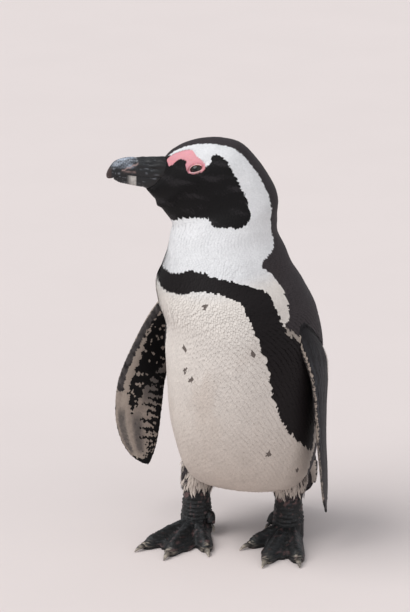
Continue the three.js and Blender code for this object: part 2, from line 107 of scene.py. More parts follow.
# Head plane: directions ahead along the bill, out to the bird's left, and up.
HEAD_TURN = math.radians(60)
HEAD_AXES = np.array([
    (-math.sin(HEAD_TURN), -math.cos(HEAD_TURN), 0),
    (math.cos(HEAD_TURN), -math.sin(HEAD_TURN), 0),
    (0, 0, 1),
])

# The bill: distance ahead of the axis, heights of its top and low edge, half width.
UPPER_BILL = np.array([
    (76, 432, 413, 9.5),
    (88, 433.4, 413, 9.3),
    (100, 432.8, 413, 8.6),
    (112, 432.8, 413.8, 7.6),
    (124, 432.6, 415, 6.8),
    (133, 430.6, 414.8, 6),
    (139.5, 426.8, 411.8, 4.8),
    (144.6, 419.4, 411, 3.2),
    (146.6, 414.8, 412.6, 1),
])
LOWER_BILL = np.array([
    (76, 412.4, 400, 9),
    (88, 412.4, 399.4, 8.8),
    (100, 412.4, 399, 8.1),
    (112, 413.2, 401, 7.1),
    (124, 414.4, 403.4, 6.2),
    (133, 414.1, 405.4, 4.8),
    (138.8, 411.3, 408.6, 2.2),
])
BILL_FULL = 2.5     # squareness of its arch

# An eye: place ahead, out and up, radius, the way it looks, and where the pupil and the iris end.
EYE = {
    "place": (49.7, 20.5, 423.8), "radius": 8.0, "faces": (0.34, 1.0, 0.46),
    "pupil": (2.3, 2.6), "iris": (5.1, 5.9), "spokes": 31,
}
SOCKET_GAP = 0.15   # between the ball and its socket
EYE_HOLLOW = 2.8    # how much deeper the skin lies in the opening of the lids
# The lids: half lengths and heights of their opening and of their outer oval.
LID = {"open_long": 7.6, "open_high": 3.5, "long": 10.2, "high": 6.7, "ball_gap": 0.35, "thick": 1.6}
LID_CLEAR = (10.1, 6.8)     # half length and height of the oval that the feathers leave free

# A flipper's sections: its leading edge, its trailing edge, and thickness.
RIGHT_FLIPPER = np.array([
    (-49, -9, 284, -51, 15, 264, 20),
    (-82.5, -14.5, 274, -75.5, 26.5, 246, 19),
    (-106.5, -12.5, 252, -90.5, 26.5, 220, 15),
    (-127.5, -18.5, 212, -99.5, 15.5, 196, 11),
    (-143.5, -25.5, 168, -104.5, 7.5, 163, 9),
    (-147.5, -26.5, 130, -107.5, 5, 130, 7.5),
    (-143.5, -24.5, 102, -109.5, 2, 104, 6),
    (-135.5, -18.5, 82, -112.5, -2, 84, 4.5),
    (-125.5, -12.5, 71.5, -115.5, -5.5, 72, 3),
])
LEFT_FLIPPER = np.array([
    (40, -4, 276, 44, 16, 262, 20),
    (66, -17, 264, 66, 24, 246, 18),
    (82, -19, 234, 79, 37, 218, 14),
    (90, -12, 202, 82, 38.5, 193, 10.5),
    (94, -9.5, 163, 83, 34, 160, 9),
    (97, -8, 125, 85, 30, 125, 7.5),
    (100, -7, 92, 88.5, 27, 94, 6),
    (101.5, -5, 68, 93.3, 19.5, 70, 4.5),
    (102.5, -1, 54, 97.5, 9, 56, 3),
])
FLIPPERS = {"right": RIGHT_FLIPPER, "left": LEFT_FLIPPER}
LENS_FRONT = 1.25   # a flipper's fullness at its leading edge, against an even lens
LENS_BACK = 0.75    # and at its trailing edge

# The tail's sections: their middle, half width and thickness.
TAIL = np.array([
    (0, 62, 122, 48, 44),
    (0, 74, 94, 46, 40),
    (0, 90, 66, 43, 25),
    (0, 103, 44, 36, 13),
    (0, 112, 26, 25, 6.5),
    (0, 116, 15, 9, 2.5),
])

# Each leg: places on the floor of hip, ankle and toe ends, and the side the hind toe is on.
LEGS = {
    "right": {
        "hip": (-50, 2), "ankle": (-55, -7), "hind_side": 1,
        "toes": {"outer": (-78, -85), "middle": (-43, -90), "inner": (-12, -59)},
    },
    "left": {
        "hip": (42, 24), "ankle": (42, 27), "hind_side": -1,
        "toes": {"outer": (89, -37), "middle": (59, -56), "inner": (20, -24)},
    },
}
# The feathered shin and the bare tarsus: height and radius down the leg.
SHIN = np.array([(92, 24), (71, 21.5), (50, 17)])
TARSUS = np.array([(64, 13), (54, 14.3), (44, 14.8), (34, 15.6), (25, 16.6), (18.5, 17.2)])
FOOT = {
    "heel_reach": 17, "heel_half": 18, "heel_round": 10.2, "heel_round_half": 14.4,
    "heel_front": 4, "tip_half": 5.5, "knuckle_half": 9.5, "knuckle_back": 16, "web_sag": 0.86,
    "root_up": 17, "edge_up": 4.5, "ridge_up": 7, "ridge_half": 7.5,
}
SCUTE = 3.4         # length of the scutes across the toes
# Claws and hind toes from root to end: along or out, back, up, radius.
CLAW = np.array([(-5, 0, 3.9, 3.2), (2.4, 0, 4.4, 2.9), (7.4, 0, 3.2, 1.9), (12, 0, 1, 0.5)])
HIND_TOE = np.array([(9, 3, 22, 4), (17, 0, 22, 5.5), (21, -4, 14, 4.2)])
HIND_CLAW = np.array([(21, -4, 13, 1.8), (24.2, -5, 10.5, 1.5), (25.5, -6, 6, 0.4)])

# Depth of the coat over flippers, tail and the top of the shins.
FLIPPER_COAT = 0.8
TAIL_COAT = 1.2
SHIN_COAT = 3.0

ANKLE = LEGS["left"]["ankle"]
AXIS = centre_of("tarsus_left") * (1, 1, 0) - (*ANKLE, 0)

# ---------------------------------------------------------------- curves and small helpers


def linear(hex_colour):
    """A screen colour given as hex, turned linear by the usual sRGB curve."""
    parts = np.array([int(hex_colour[i:i + 2], 16) for i in (1, 3, 5)]) / 255
    return tuple(np.where(parts <= 0.04045, parts / 12.92, ((parts + 0.055) / 1.055) ** 2.4))


def curve_through(values, place):
    """Smooth curve through evenly spaced values (Catmull-Rom); place runs from 0 to the last index."""
    last = len(values) - 1
    place = np.asarray(place, float)
    i = np.clip(np.floor(place).astype(int), 0, last - 1)
    t = place - i
    if values.ndim > 1:
        t = t[..., None]
    before, start = values[np.maximum(i - 1, 0)], values[i]
    end, after = values[i + 1], values[np.minimum(i + 2, last)]
    slope = end - before
    bend = 2 * before - 5 * start + 4 * end - after
    twist = 3 * (start - end) + after - before
    return start + 0.5 * t * (slope + t * (bend + t * twist))


def heading_along(stops, place, nudge):
    """How a smooth line through stops runs, from nudge before a place to nudge after it."""
    last = len(stops) - 1
    after = curve_through(stops[:, :3], np.minimum(place + nudge, last))
    return after - curve_through(stops[:, :3], np.maximum(place - nudge, 0))


def slopes(surface, share, angle, nudge=1e-3):
    """How the points of a surface move as share grows, and as the angle does."""
    along = surface(share + nudge, angle) - surface(share - nudge, angle)
    return along, surface(share, angle + nudge) - surface(share, angle - nudge)


def mix(a, b, share):
    return a + (b - a) * share


def step(low, high, value):
    """Smooth step: 0 below low, 1 above high, and 3t^2 - 2t^3 between."""
    t = np.clip((np.asarray(value, float) - low) / (high - low), 0, 1)
    return t * t * (3 - 2 * t)


def window(rise, full, fall, end, value):
    """Rises from 0 at rise to 1 at full, and falls from 1 at fall to 0 at end."""
    return step(rise, full, value) * (1 - step(fall, end, value))


def dyed(colours, colour, share):
    """Colours moved towards another colour, each by its own share."""
    return mix(colours, colour, share[:, None])


def unit(vectors):
    return vectors / np.maximum(np.linalg.norm(vectors, axis=-1, keepdims=True), 1e-9)


def square_off(value, power):
    """Sine or cosine squared off: power 2 gives a circle, more gives a squarer section."""
    return np.sign(value) * np.abs(value) ** (2 / power)


def ripple(points, size, seed):
    """Soft waves in space, from -1 to 1: eight sine waves in random directions, about size long."""
    rng = np.random.default_rng(seed)
    waves = unit(rng.normal(size=(8, 3))) * (2 * np.pi / size) * rng.uniform(0.6, 1.5, (8, 1))
    phases = rng.uniform(0, 2 * np.pi, 8)
    return np.sin(points @ waves.T + phases).mean(-1) * 2


def inside(outline, x, y):
    """Which points lie in a closed outline: a ray from each crosses its edges an odd number of times."""
    found = np.zeros(np.shape(x), bool)
    for (x0, y0), (x1, y1) in zip(outline, np.roll(outline, -1, axis=0)):
        crosses = (y0 > y) != (y1 > y)
        at = x0 + (y - y0) * (x1 - x0) / (y1 - y0 if y1 != y0 else 1e-9)
        found ^= crosses & (x < at)
    return found


def place_mm(points):
    """From millimetres round the trunk axis to metres in the frame."""
    return (points + AXIS) * MM


# ---------------------------------------------------------------- surfaces of two parameters


def body_surface(ring, angle, grow=0.0):
    """Point of the body. A ring's middle is half-way between its front and back points; cos(angle)
    squared off carries it along the line between them, sin(angle) squared off out to the side,
    narrowed at the front by taper, and the square of the sine pushes the sides back by bow."""
    turn, *_ = rows = np.moveaxis(curve_through(BODY, ring), -1, 0)
    _, front, front_up, back, back_up, half, full, taper, bow, side = (r[..., None] for r in rows)
    heading = np.radians(turn)
    flat = np.zeros_like(heading)
    ahead = np.stack([-np.sin(heading), -np.cos(heading), flat], -1)
    left = np.stack([np.cos(heading), -np.sin(heading), flat], -1)
    up = np.array([0.0, 0.0, 1.0])
    low = ahead * front + up * front_up
    high = ahead * back + up * back_up
    grow = np.broadcast_to(grow, np.shape(ring))[..., None]
    reach = np.linalg.norm(low - high, axis=-1, keepdims=True) / 2 + grow
    spine = unit(low - high)
    behind = np.cross(left, spine)
    along = square_off(np.cos(angle)[..., None], full)
    across = square_off(np.sin(angle)[..., None], full)
    width = (half + grow) * (1 - taper * along)
    middle = (low + high) / 2
    return middle + spine * along * reach + left * (across * width + side) + behind * across ** 2 * bow


def flipper_surface(stations, share, angle, grow=0.0):
    """Point of a flipper: (1 - cos)/2 of the way from the leading to the trailing edge, and out from
    the chord by the sine times half the thickness, fuller towards the leading edge."""
    at = share * (len(stations) - 1)
    row = curve_through(stations, at)
    lead, trail, thick = row[..., :3], row[..., 3:6], row[..., 6]
    chord = trail - lead
    out = unit(np.cross(heading_along(stations, at, 0.02 * (len(stations) - 1)), chord))
    back = (1 - np.cos(angle)) / 2
    lens = np.sin(angle) * mix(LENS_FRONT, LENS_BACK, back)
    edge = -np.cos(angle) * grow
    up = -lens * np.maximum(thick / 2 + grow, 0.3)
    return lead + chord * back[..., None] + unit(chord) * edge[..., None] + out * up[..., None]


def tail_surface(share, angle, grow=0.0):
    """Point of the tail: the cosine across its width and the sine through its thickness."""
    at = share * (len(TAIL) - 1)
    row = curve_through(TAIL, at)
    along = heading_along(TAIL, at, 0.1)
    across = np.array([1.0, 0.0, 0.0])
    out = unit(np.cross(along, np.broadcast_to(across, along.shape)))
    side = np.cos(angle) * (row[..., 3] + grow)
    rise = np.sin(angle) * np.maximum(row[..., 4] / 2 + grow, 0.4)
    return row[..., :3] + across * side[..., None] + out * rise[..., None]


def shin_surface(leg, share, angle, grow=0.0):
    """Point of a feathered shin: level circles that shrink on the way from hip to ankle."""
    row = curve_through(SHIN, share * (len(SHIN) - 1))
    hip, ankle = np.array(leg["hip"]), np.array(leg["ankle"])
    middle = mix(hip, ankle, np.asarray(share)[..., None])
    radius = row[..., 1] + grow
    x = middle[..., 0] + radius * np.cos(angle)
    y = middle[..., 1] + radius * np.sin(angle)
    return np.stack([x, y, row[..., 0]], -1)


def heading_to(ankle, tip):
    """Directions on the floor along a toe and across it."""
    along = unit(np.array(tip, float) - np.array(ankle, float))
    return along, np.array([-along[1], along[0]])


def foot_rim(leg, angle):
    """Rim of a foot on the floor: a smooth closed curve round heel, toe ends and sagging web edges,
    read as a distance from the ankle for each direction by interpolation."""
    ankle = np.array(leg["ankle"], float)
    toes = list(leg["toes"].values())
    turn = np.sign(np.cross(np.array(toes[0]) - ankle, np.array(toes[2]) - ankle))
    ahead = heading_to(ankle, leg["toes"]["middle"])

    def spot(heading, far, out):
        return ankle + heading[0] * far + heading[1] * out * turn

    points = [
        spot(ahead, -FOOT["heel_reach"], 0),
        spot(ahead, -FOOT["heel_round"], -FOOT["heel_round_half"]),
        spot(ahead, FOOT["heel_front"], -FOOT["heel_half"]),
    ]
    for place, tip in enumerate(toes):
        heading = heading_to(ankle, tip)
        reach = np.linalg.norm(np.array(tip) - ankle)
        if place:
            web = (np.array(toes[place - 1]) + np.array(tip)) / 2
            points.append(mix(ankle, web, FOOT["web_sag"]))
        for back, half in ((FOOT["knuckle_back"], -FOOT["knuckle_half"]),
                           (FOOT["tip_half"] / 2, -FOOT["tip_half"]), (0, 0),
                           (FOOT["tip_half"] / 2, FOOT["tip_half"]),
                           (FOOT["knuckle_back"], FOOT["knuckle_half"])):
            points.append(spot(heading, reach - back, half))
    points += [
        spot(ahead, FOOT["heel_front"], FOOT["heel_half"]),
        spot(ahead, -FOOT["heel_round"], FOOT["heel_round_half"]),
    ]
    count = len(points)
    wrapped = np.array(points[-2:] + points + points[:3])
    fine = curve_through(wrapped, np.linspace(2, count + 2, 60 * count, endpoint=False)) - ankle
    bearing = np.arctan2(fine[:, 1], fine[:, 0])
    order = np.argsort(bearing)
    return np.interp(angle, bearing[order], np.linalg.norm(fine, axis=1)[order], period=2 * np.pi)


def foot_height(leg, place, share):
    """Height of a foot: the web's fall from ankle to edge, plus a rounded ridge along each toe."""
    ridge = np.zeros(share.shape)
    for tip in leg["toes"].values():
        along, across = heading_to(leg["ankle"], tip)
        local = place - np.array(leg["ankle"])
        off = (local @ across) / FOOT["ridge_half"]
        ridge = np.maximum(ridge, (local @ along > 0) * FOOT["ridge_up"] * np.exp(-off * off))
    return np.minimum(mix(FOOT["root_up"], FOOT["edge_up"], share) + ridge, FOOT["root_up"])


def leg_surface(leg, share, angle):
    """Point of the bare leg and foot in one: share 0 to 0.3 runs down the tarsus, to 0.82 out over
    the toes and web to the rim, to 0.88 round the rim, and to 1 under the flat sole."""
    ankle = np.array(leg["ankle"], float)
    rim = np.maximum(foot_rim(leg, angle), TARSUS[-1, 1])
    down = np.clip(share / 0.3, 0, 1)
    shaft = curve_through(TARSUS, down * (len(TARSUS) - 1))
    out = np.clip((share - 0.3) / 0.52, 0, 1)
    turn = np.clip((share - 0.82) / 0.06, 0, 1)
    under = np.clip((share - 0.88) / 0.12, 0, 1)
    wide = mix(shaft[..., 1], rim - 1.5 * step(-1, 0.3, out) * (out < 1), out)
    reach = np.where(share < 0.3, shaft[..., 1], wide)
    reach = np.where(share > 0.82, rim * (1 - 0.02 * turn), reach) * (1 - under)
    floor = np.stack([np.cos(angle), np.sin(angle)], -1) * reach[..., None]
    height = foot_height(leg, ankle + floor, np.clip(reach / rim, 0, 1))
    top = np.where(share < 0.3, shaft[..., 0], height + 1.5 * (1 - out) ** 6)
    fall = np.cos(turn * np.pi / 2)
    rounding = 1 - 0.35 * step(0.8, 1, out)
    z = np.where(share > 0.82, height * 0.65 * fall, top * np.where(share < 0.3, 1, rounding))
    z = np.where(share >= 0.88, 0, z)
    return np.concatenate([ankle + floor, z[..., None]], -1)


def tube_along(stops, share, angle, aside, tall=1.0):
    """Point of a round tube along the smooth line through stops of x, y, z and radius; aside turns
    its sections, and tall stretches them the other way."""
    at = share * (len(stops) - 1)
    row = curve_through(stops, at)
    along = unit(heading_along(stops, at, 0.05))
    side = unit(np.cross(np.broadcast_to(aside, along.shape), along))
    rise = np.cross(along, side)
    radius = row[..., 3:4]
    round_it = side * np.cos(angle)[..., None] + rise * tall * np.sin(angle)[..., None]
    return row[..., :3] + radius * round_it


# ---------------------------------------------------------------- meshes

NO_TRIS = np.zeros((0, 3), int)


def tube_faces(rows, columns):
    """Quads between rings, and the corners of the fans that close both ends, as vertex numbers."""
    ring = np.arange(rows - 1)[:, None] * columns
    side = np.arange(columns)[None, :]
    turn = (side + 1) % columns
    quads = np.stack([ring + side, ring + turn, ring + columns + turn, ring + columns + side], -1)
    last = (rows - 1) * columns
    start, end = rows * columns, rows * columns + 1
    side, turn = side[0], turn[0]
    first_fan = np.stack([np.full(columns, start), turn, side], -1)
    last_fan = np.stack([np.full(columns, end), last + side, last + turn], -1)
    return quads.reshape(-1, 4), np.concatenate([first_fan, last_fan])


def fill_mesh(mesh, points, quads, tris):
    """Puts whole arrays of points, quads and triangles into a mesh."""
    corners = np.concatenate([quads.ravel(), tris.ravel()])
    totals = np.concatenate([np.full(len(quads), 4), np.full(len(tris), 3)])
    starts = np.concatenate([[0], np.cumsum(totals)[:-1]])
    mesh.vertices.add(len(points))
    mesh.vertices.foreach_set("co", np.ascontiguousarray(points, np.float32).ravel())
    mesh.loops.add(len(corners))
    mesh.loops.foreach_set("vertex_index", corners.astype(np.int32))
    mesh.polygons.add(len(totals))
    mesh.polygons.foreach_set("loop_start", starts.astype(np.int32))
    mesh.update(calc_edges=True)
    return corners


def read(items, name, width=1, kind=np.float32):
    """One number, or a row of width numbers, from every item of a mesh."""
    values = np.empty(len(items) * width, kind)
    items.foreach_get(name, values)
    return values if width == 1 else values.reshape(-1, width)


def write_map(mesh, name, uv):
    """Adds a map with the place of every corner."""
    mesh.uv_layers.new(name=name).data.foreach_set("uv", uv.astype(np.float32).ravel())


def paint(mesh, colours, domain="POINT"):
    """Gives each point or corner of a mesh its colour, in the attribute tint."""
    opaque = np.concatenate([colours, np.ones((*colours.shape[:-1], 1))], -1)
    tint = mesh.color_attributes.new("tint", "FLOAT_COLOR", domain)
    tint.data.foreach_set("color", opaque.astype(np.float32).ravel())


def in_scene(name, data):
    """A new object that shows a mesh, a lamp or a camera."""
    made = bpy.data.objects.new(name, data)
    bpy.context.scene.collection.objects.link(made)
    return made


def facing_out(points, quads, tris):
    """The faces of a closed form, all turned round if the volume that its quads enclose comes out
    below zero."""
    a, b, c, d = (points[quads[:, i]] for i in range(4))
    volume = (a * np.cross(b, c)).sum() + (a * np.cross(c, d)).sum()
    return (quads[:, ::-1], tris[:, ::-1]) if volume < 0 else (quads, tris)


def tube_object(name, surface, rows, columns):
    """A closed tube from surface(share, angle), its end rings closed by fans to their middles. The
    map "lie" holds angle as a share of a turn and the place along the tube, for each corner."""
    share, turn = np.meshgrid(rows, np.arange(columns) / columns, indexing="ij")
    grid = surface(share, turn * 2 * np.pi)
    ends = grid[[0, -1]].mean(1)
    points = np.concatenate([grid.reshape(-1, 3), ends])
    quads, tris = facing_out(points, *tube_faces(len(rows), columns))
    mesh = bpy.data.meshes.new(name)
    corners = fill_mesh(mesh, place_mm(points), quads, tris)
    along = np.concatenate([share.ravel(), [rows[0], rows[-1]]])[corners]
    about = np.concatenate([turn.ravel(), [0.5, 0.5]])[corners]
    loops_of_face = np.concatenate([np.repeat(np.arange(len(quads)), 4),
                                    len(quads) + np.repeat(np.arange(len(tris)), 3)])
    high = np.zeros(len(quads) + len(tris))
    np.maximum.at(high, loops_of_face, np.where(corners < len(grid) * columns, about, 0))
    wraps = (high[loops_of_face] > 0.75) & (about < 0.25)
    write_map(mesh, "lie", np.stack([about + wraps, along], -1))
    mesh.shade_smooth()
    return in_scene(name, mesh)


def combine(target, tool, operation):
    """Joins tool to target, or cuts it away, as solids, and removes tool."""
    change = target.modifiers.new("combine", "BOOLEAN")
    change.operation = operation
    change.solver = "MANIFOLD"
    change.object = tool
    apply_modifier(target, change)
    bpy.data.objects.remove(tool)


def apply_modifier(thing, modifier):
    bpy.context.view_layer.objects.active = thing
    with bpy.context.temp_override(object=thing, active_object=thing):
        bpy.ops.object.modifier_apply(modifier=modifier.name)


def settle(thing, material, nodes=()):
    """Gives a finished piece its material and its body, and hides the nodes it stands for."""
    thing.data.materials.clear()
    for each in material if isinstance(material, (list, tuple)) else [material]:
        thing.data.materials.append(each)
    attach(thing, "root")
    if nodes:
        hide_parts(*nodes)
    return thing


# ---------------------------------------------------------------- markings, by ring and degrees round it

# Outlines of the markings on one side, mirrored on the other, each curved through a few points: ring
# of the body, and degrees round the ring from breast or throat (0) to back or crown (180).
BACK = [
    (23, 160), (20, 157), (18, 155), (16, 152), (14.5, 149), (13, 150), (12, 150), (11.5, 135),
    (11, 108), (10.25, 102), (9.5, 95), (8.5, 80), (8.25, 72), (7.75, 80), (7, 95), (5, 110),
    (3, 100), (1.5, 110), (0, 150), (-1, 190), (23, 190),
]
BAND = [
    (11, -10), (11, 15), (11.25, 45), (10.75, 65), (9.75, 82), (9, 75), (8, 70), (7.5, 80), (6, 95),
    (4, 100), (4.5, 80), (5, 68), (6, 55), (7, 50), (8, 45), (9, 50), (9.75, 55), (10.25, 35),
    (10, 10), (10, -10),
]
FACE = [
    (23, -10), (23, 160), (21.5, 155), (20.5, 140), (18.5, 112), (17.75, 115), (18, 132), (17.5, 134),
    (16.5, 124), (15, 118), (13.5, 115), (13.25, 105), (13.5, 90), (13.75, 78), (14.5, 72),
    (15, 50), (15, 30), (14.75, 5), (14.75, -10),
]
BARE = [
    (21.5, 150), (20.5, 150), (19.5, 145), (18.75, 128), (18, 117), (17.75, 105), (18.5, 98),
    (19.25, 110), (19.5, 122), (20.25, 128), (21, 118), (21.5, 135),
]
# Dark spots on the belly: ring and degrees, negative on the bird's right; no two birds' are alike.
SPOTS = [(9.5, 25), (7.5, -15), (7.5, 40), (6.75, -15), (6.5, -10), (4.25, 50), (3.25, 80)]
SPOT_RADIUS = 3.0


def coat_depth(ring):
    """Depth of the coat over the body in millimetres, deepest on the trunk and least at the bill."""
    return np.interp(ring, (0, 10, 13, 17, 21, 22), (1.6, 1.5, 1.2, 0.8, 0.6, 0.4))


def folded(degrees):
    """Degrees round a ring brought to one side, 0 to 180."""
    turned = np.mod(degrees, 360)
    return np.minimum(turned, 360 - turned)


def curved(outline):
    """A closed outline drawn smoothly through its few points, six steps to each."""
    loop = np.array(outline[-1:] + outline + outline[:2], float)
    return curve_through(loop, 1 + np.arange(6 * len(outline)) / 6)


WHITE_KIND, BACK_KIND, BAND_KIND, FACE_KIND, BARE_KIND = range(5)
OUTLINES = {
    BACK_KIND: curved(BACK), BAND_KIND: curved(BAND), FACE_KIND: curved(FACE), BARE_KIND: curved(BARE),
}


def kind_of_plumage(ring, degrees):
    """Which marking each place has: a later outline lies over an earlier one."""
    side = folded(degrees)
    kind = np.full(np.shape(ring), WHITE_KIND)
    for number, outline in OUTLINES.items():
        kind[inside(outline, ring, side)] = number
    return kind


def body_tint(ring, degrees, look, points):
    """Colour of the body: white that turns warmer and darker down the belly, partly stain and partly painted
    shade, the dark markings and spots, paler streaks on the face's black that are a painted sheen, and
    painted shade in the hollow under each flipper.
    """
    kind = kind_of_plumage(ring, degrees)
    # Darker and warmer towards the bottom of the belly: partly stain, partly painted shade under the belly.
    belly = dyed(look.belly_low, look.belly, step(2.5, 8, ring))
    white = dyed(belly, look.white, step(9.5, 10.8, ring))
    tint = white.copy()
    for number, colour in zip(OUTLINES, (look.back, look.band, look.face, look.bare)):
        tint[kind == number] = colour
    # Paler grey streaks on the face's black: a painted sheen.
    worn = step(0.1, 1.3, ripple(points * (1, 1, 2), 24, 91) + 0.4 * ripple(points * (1, 1, 3), 5, 92))
    face, pale = kind == FACE_KIND, kind == WHITE_KIND
    tint[face] = dyed(tint, look.face_sheen, 0.8 * worn)[face]
    stain = step(0, 1.3, ripple(points, 60, 93) + 0.3 * ripple(points * (1, 1, 0.3), 12, 94))
    stain = stain * (1 - step(6, 9, ring))
    tint[pale] = dyed(tint, look.belly_low, 0.6 * stain)[pale]
    # Painted shade: the white in the hollow under each flipper, at the back of the flank, is darkened to
    # grey as if shaded.
    painted_armpit_shade = pale & (ring > 7) & (ring < 8.2) & (folded(degrees) > 64)
    tint[painted_armpit_shade] = look.belly_low * 0.62
    for spot_ring, spot_degrees in SPOTS:
        spot = body_surface(np.array([spot_ring]), np.radians(np.array([spot_degrees])))
        near = np.linalg.norm(points - spot, axis=1) < SPOT_RADIUS
        tint[near] = look.spot
    return tint, kind


# On a flipper's underside a black patch runs from the shoulder down: along the flipper, and how far
# back from the leading edge it starts and ends, as shares of its length and width.
PATCH_ALONG = (0, 0.3, 0.37, 0.44, 0.5, 0.56, 0.62, 0.67)
PATCH_START = (0.1, 0.14, 0.22, 0.3, 0.25, 0.27, 0.33, 0.4)
PATCH_END = (1.1, 1.1, 1.1, 0.85, 0.66, 0.5, 0.4, 0.4)
FLIPPER_LONG, FLIPPER_WIDE = 235, 38
BELOW_APART = 60.0      # sets the underside's pattern apart from the upper side's


def flipper_below(share, back, local, look):
    """Underside of a flipper: taupe with a dark and a pale stripe along the leading edge, a flecked
    black patch, black streaks in from the trailing edge, a soft grey cloud, and a black tip. The
    limits are shares of its length, and of its width back from the leading edge."""
    fleck = 0.7 * ripple(local, 6.5, 3) + 0.8 * ripple(local, 3.4, 4)
    slant = local - np.outer(local[:, 1], (0.5, 0, 0))
    streak = ripple(slant * (1, 0.2, 1), 5, 5) + 0.5 * ripple(slant * (1, 0.25, 1), 2.6, 6)
    tint = dyed(look.taupe, look.taupe_pale, 0.5 + 0.3 * fleck)
    pale = window(0.08, 0.14, 0.2, 0.3, back)
    tint = dyed(tint, look.taupe_pale, pale)
    cloud = window(0.3, 0.42, 0.5, 0.66, back) * step(0.6, 0.68, share)
    tail_cloud = window(0.02, 0.08, 0.16, 0.24, back) * step(0.58, 0.64, share)
    grey = np.maximum(cloud, tail_cloud) * (1 - step(0.84, 0.9, share))
    tint = dyed(tint, look.taupe_dark, 0.8 * grey + 0.15 * fleck * grey)
    shadow = window(0.4, 0.46, 0.54, 0.62, share) * step(0.5, 0.62, back)
    tint = dyed(tint, look.taupe_dark, 0.75 * shadow)
    lead = (back < 0.12 + 0.02 * fleck) & (share > 0.06) & (share < 0.53 + 0.02 * fleck)
    dusk = np.clip(0.45 + 0.4 * fleck, 0, 1)
    tint[lead] = dyed(look.taupe_dark, look.flipper, dusk)[lead]
    start, end = np.interp(share, PATCH_ALONG, PATCH_START), np.interp(share, PATCH_ALONG, PATCH_END)
    patch = (back > start + 0.04 * fleck) & (back < end + 0.06 * fleck) & (share < 0.67)
    tint[patch & (fleck < 0.75)] = look.face
    tint[(streak > 0.75 - 1.25 * step(0.45, 1.0, back)) & (share > 0.46) & (back > 0.5)] = look.face
    edge = np.abs(back - 0.45) * 2
    tint[share + 0.07 * edge ** 2 + 0.015 * fleck > 0.95] = look.face
    tint[share < 0.1] = look.band
    return tint


def flipper_above(share, back, local, look):
    """Outer side of a flipper: blackish with a painted bluish-grey sheen in streaks along it, greyer towards
    the tip, a pale line on the leading edge and a white one on the trailing edge."""
    streak = 0.5 + 0.5 * ripple(local * (0.12, 1, 1), 4, 7) + 0.3 * ripple(local * (0.3, 1, 1), 2.4, 8)
    # Painted sheen: bluish-grey streaks laid along the blackish outer side.
    painted_sheen = 0.5 * streak * step(0.1, 0.4, share)
    tint = dyed(look.flipper, look.flipper_sheen, painted_sheen)
    worn = step(0.5, 0.95, share) * (0.45 + 0.35 * streak)
    tint = dyed(tint, look.taupe_dark, worn)
    tint[(back < 0.012) & (share > 0.15) & (share < 0.6)] = look.taupe_pale
    tint[(back > 0.84) & (back < 0.97) & (share > 0.22) & (share < 0.6)] = look.belly
    return tint


def flipper_tint(side, share, angle, look):
    """Colour of a flipper, below or above by which way its surface faces."""
    back = (1 - np.cos(angle)) / 2
    below = (np.sin(angle) < 0) if side == "right" else (np.sin(angle) > 0)
    local = np.stack([share * FLIPPER_LONG, back * FLIPPER_WIDE, below * BELOW_APART], -1)
    return np.where(below[:, None], flipper_below(share, back, local, look),
                    flipper_above(share, back, local, look))


# ---------------------------------------------------------------- skin

BODY_PART, FLIPPER_PART, TAIL_PART, SHIN_PART, LEG_PART, LID_PART = range(6)


def numbered(thing, number, side=0):
    """Notes on each face which part of the bird it is, and its side, so that joins keep it."""
    for name, value in (("part", number), ("side", side)):
        noted = thing.data.attributes.new(name, "INT", "FACE")
        noted.data.foreach_set("value", np.full(len(thing.data.polygons), value, np.int32))
    return thing


def bare_inset(ring, degrees):
    """How far the skin lies below the coat's tips: the coat's depth, but almost none where bare."""
    soft = np.zeros(np.shape(ring))
    for shift_ring, shift_degrees in ((0, 0), (0.15, 0), (-0.15, 0), (0, 4), (0, -4)):
        soft += inside(OUTLINES[BARE_KIND], ring + shift_ring, folded(degrees) + shift_degrees) / 5
    return mix(coat_depth(ring), 0.3, soft)


def skin_of_body(ring, angle):
    """Point of the skin over the body: its outline less the coat's depth, and hollowed under the
    opening of each eye so that the ball shows up to the corners of its lids."""
    points = body_surface(ring, angle)
    inset = bare_inset(ring, np.degrees(angle))
    for side in (1, -1):
        centre, faces, forward, up = eye_axes(side)
        to = points - centre
        oval = np.hypot(to @ forward / LID["open_long"], to @ up / LID["open_high"])
        inset = inset + EYE_HOLLOW * (1 - step(0.95, 1.3, oval)) * (to @ faces > 0)
    return body_surface(ring, angle, -inset)


def leg_relief(leg, share, angle):
    """The bare leg and foot with their relief: level folds round the tarsus, scutes across each toe,
    and webbing that is drawn into shallow folds."""
    points = leg_surface(leg, share, angle)
    along, about = slopes(partial(leg_surface, leg), share, angle)
    normal = unit(np.cross(about, along))
    ankle = np.array((*leg["ankle"], 12.0))
    outward = np.sign(((points - ankle) * normal).sum(-1, keepdims=True))
    normal = normal * np.where(outward == 0, 1, outward)
    flat = points[..., :2] - np.array(leg["ankle"])
    height = 0.35 * ripple(points, 9, 11) + 0.25 * ripple(points, 4.2, 12)
    folds = np.sin(points[..., 2] * 1.35 + 1.2 * ripple(points, 22, 13)) * 0.55
    height = height + folds * step(16, 20, points[..., 2])
    for tip in leg["toes"].values():
        along, across = heading_to(leg["ankle"], tip)
        ahead, off = flat @ along, flat @ across
        on_toe = np.exp(-(off / 5.0) ** 2) * step(14, 24, ahead)
        scute = np.abs(np.sin(ahead * np.pi / SCUTE + 0.6 * np.sin(off * 0.5))) ** 0.6
        height = height + on_toe * (0.75 * scute - 0.35)
    height = np.where(share > 0.8, 0, height) * step(0.01, 0.05, share)
    return points + normal * height[..., None]


def hind_stops(leg, stops):
    """Stops of a hind toe or its claw, set out from the ankle to the toe's side."""
    x, y = leg["ankle"]
    return np.stack([x + leg["hind_side"] * stops[:, 0], y + stops[:, 1], stops[:, 2], stops[:, 3]], -1)


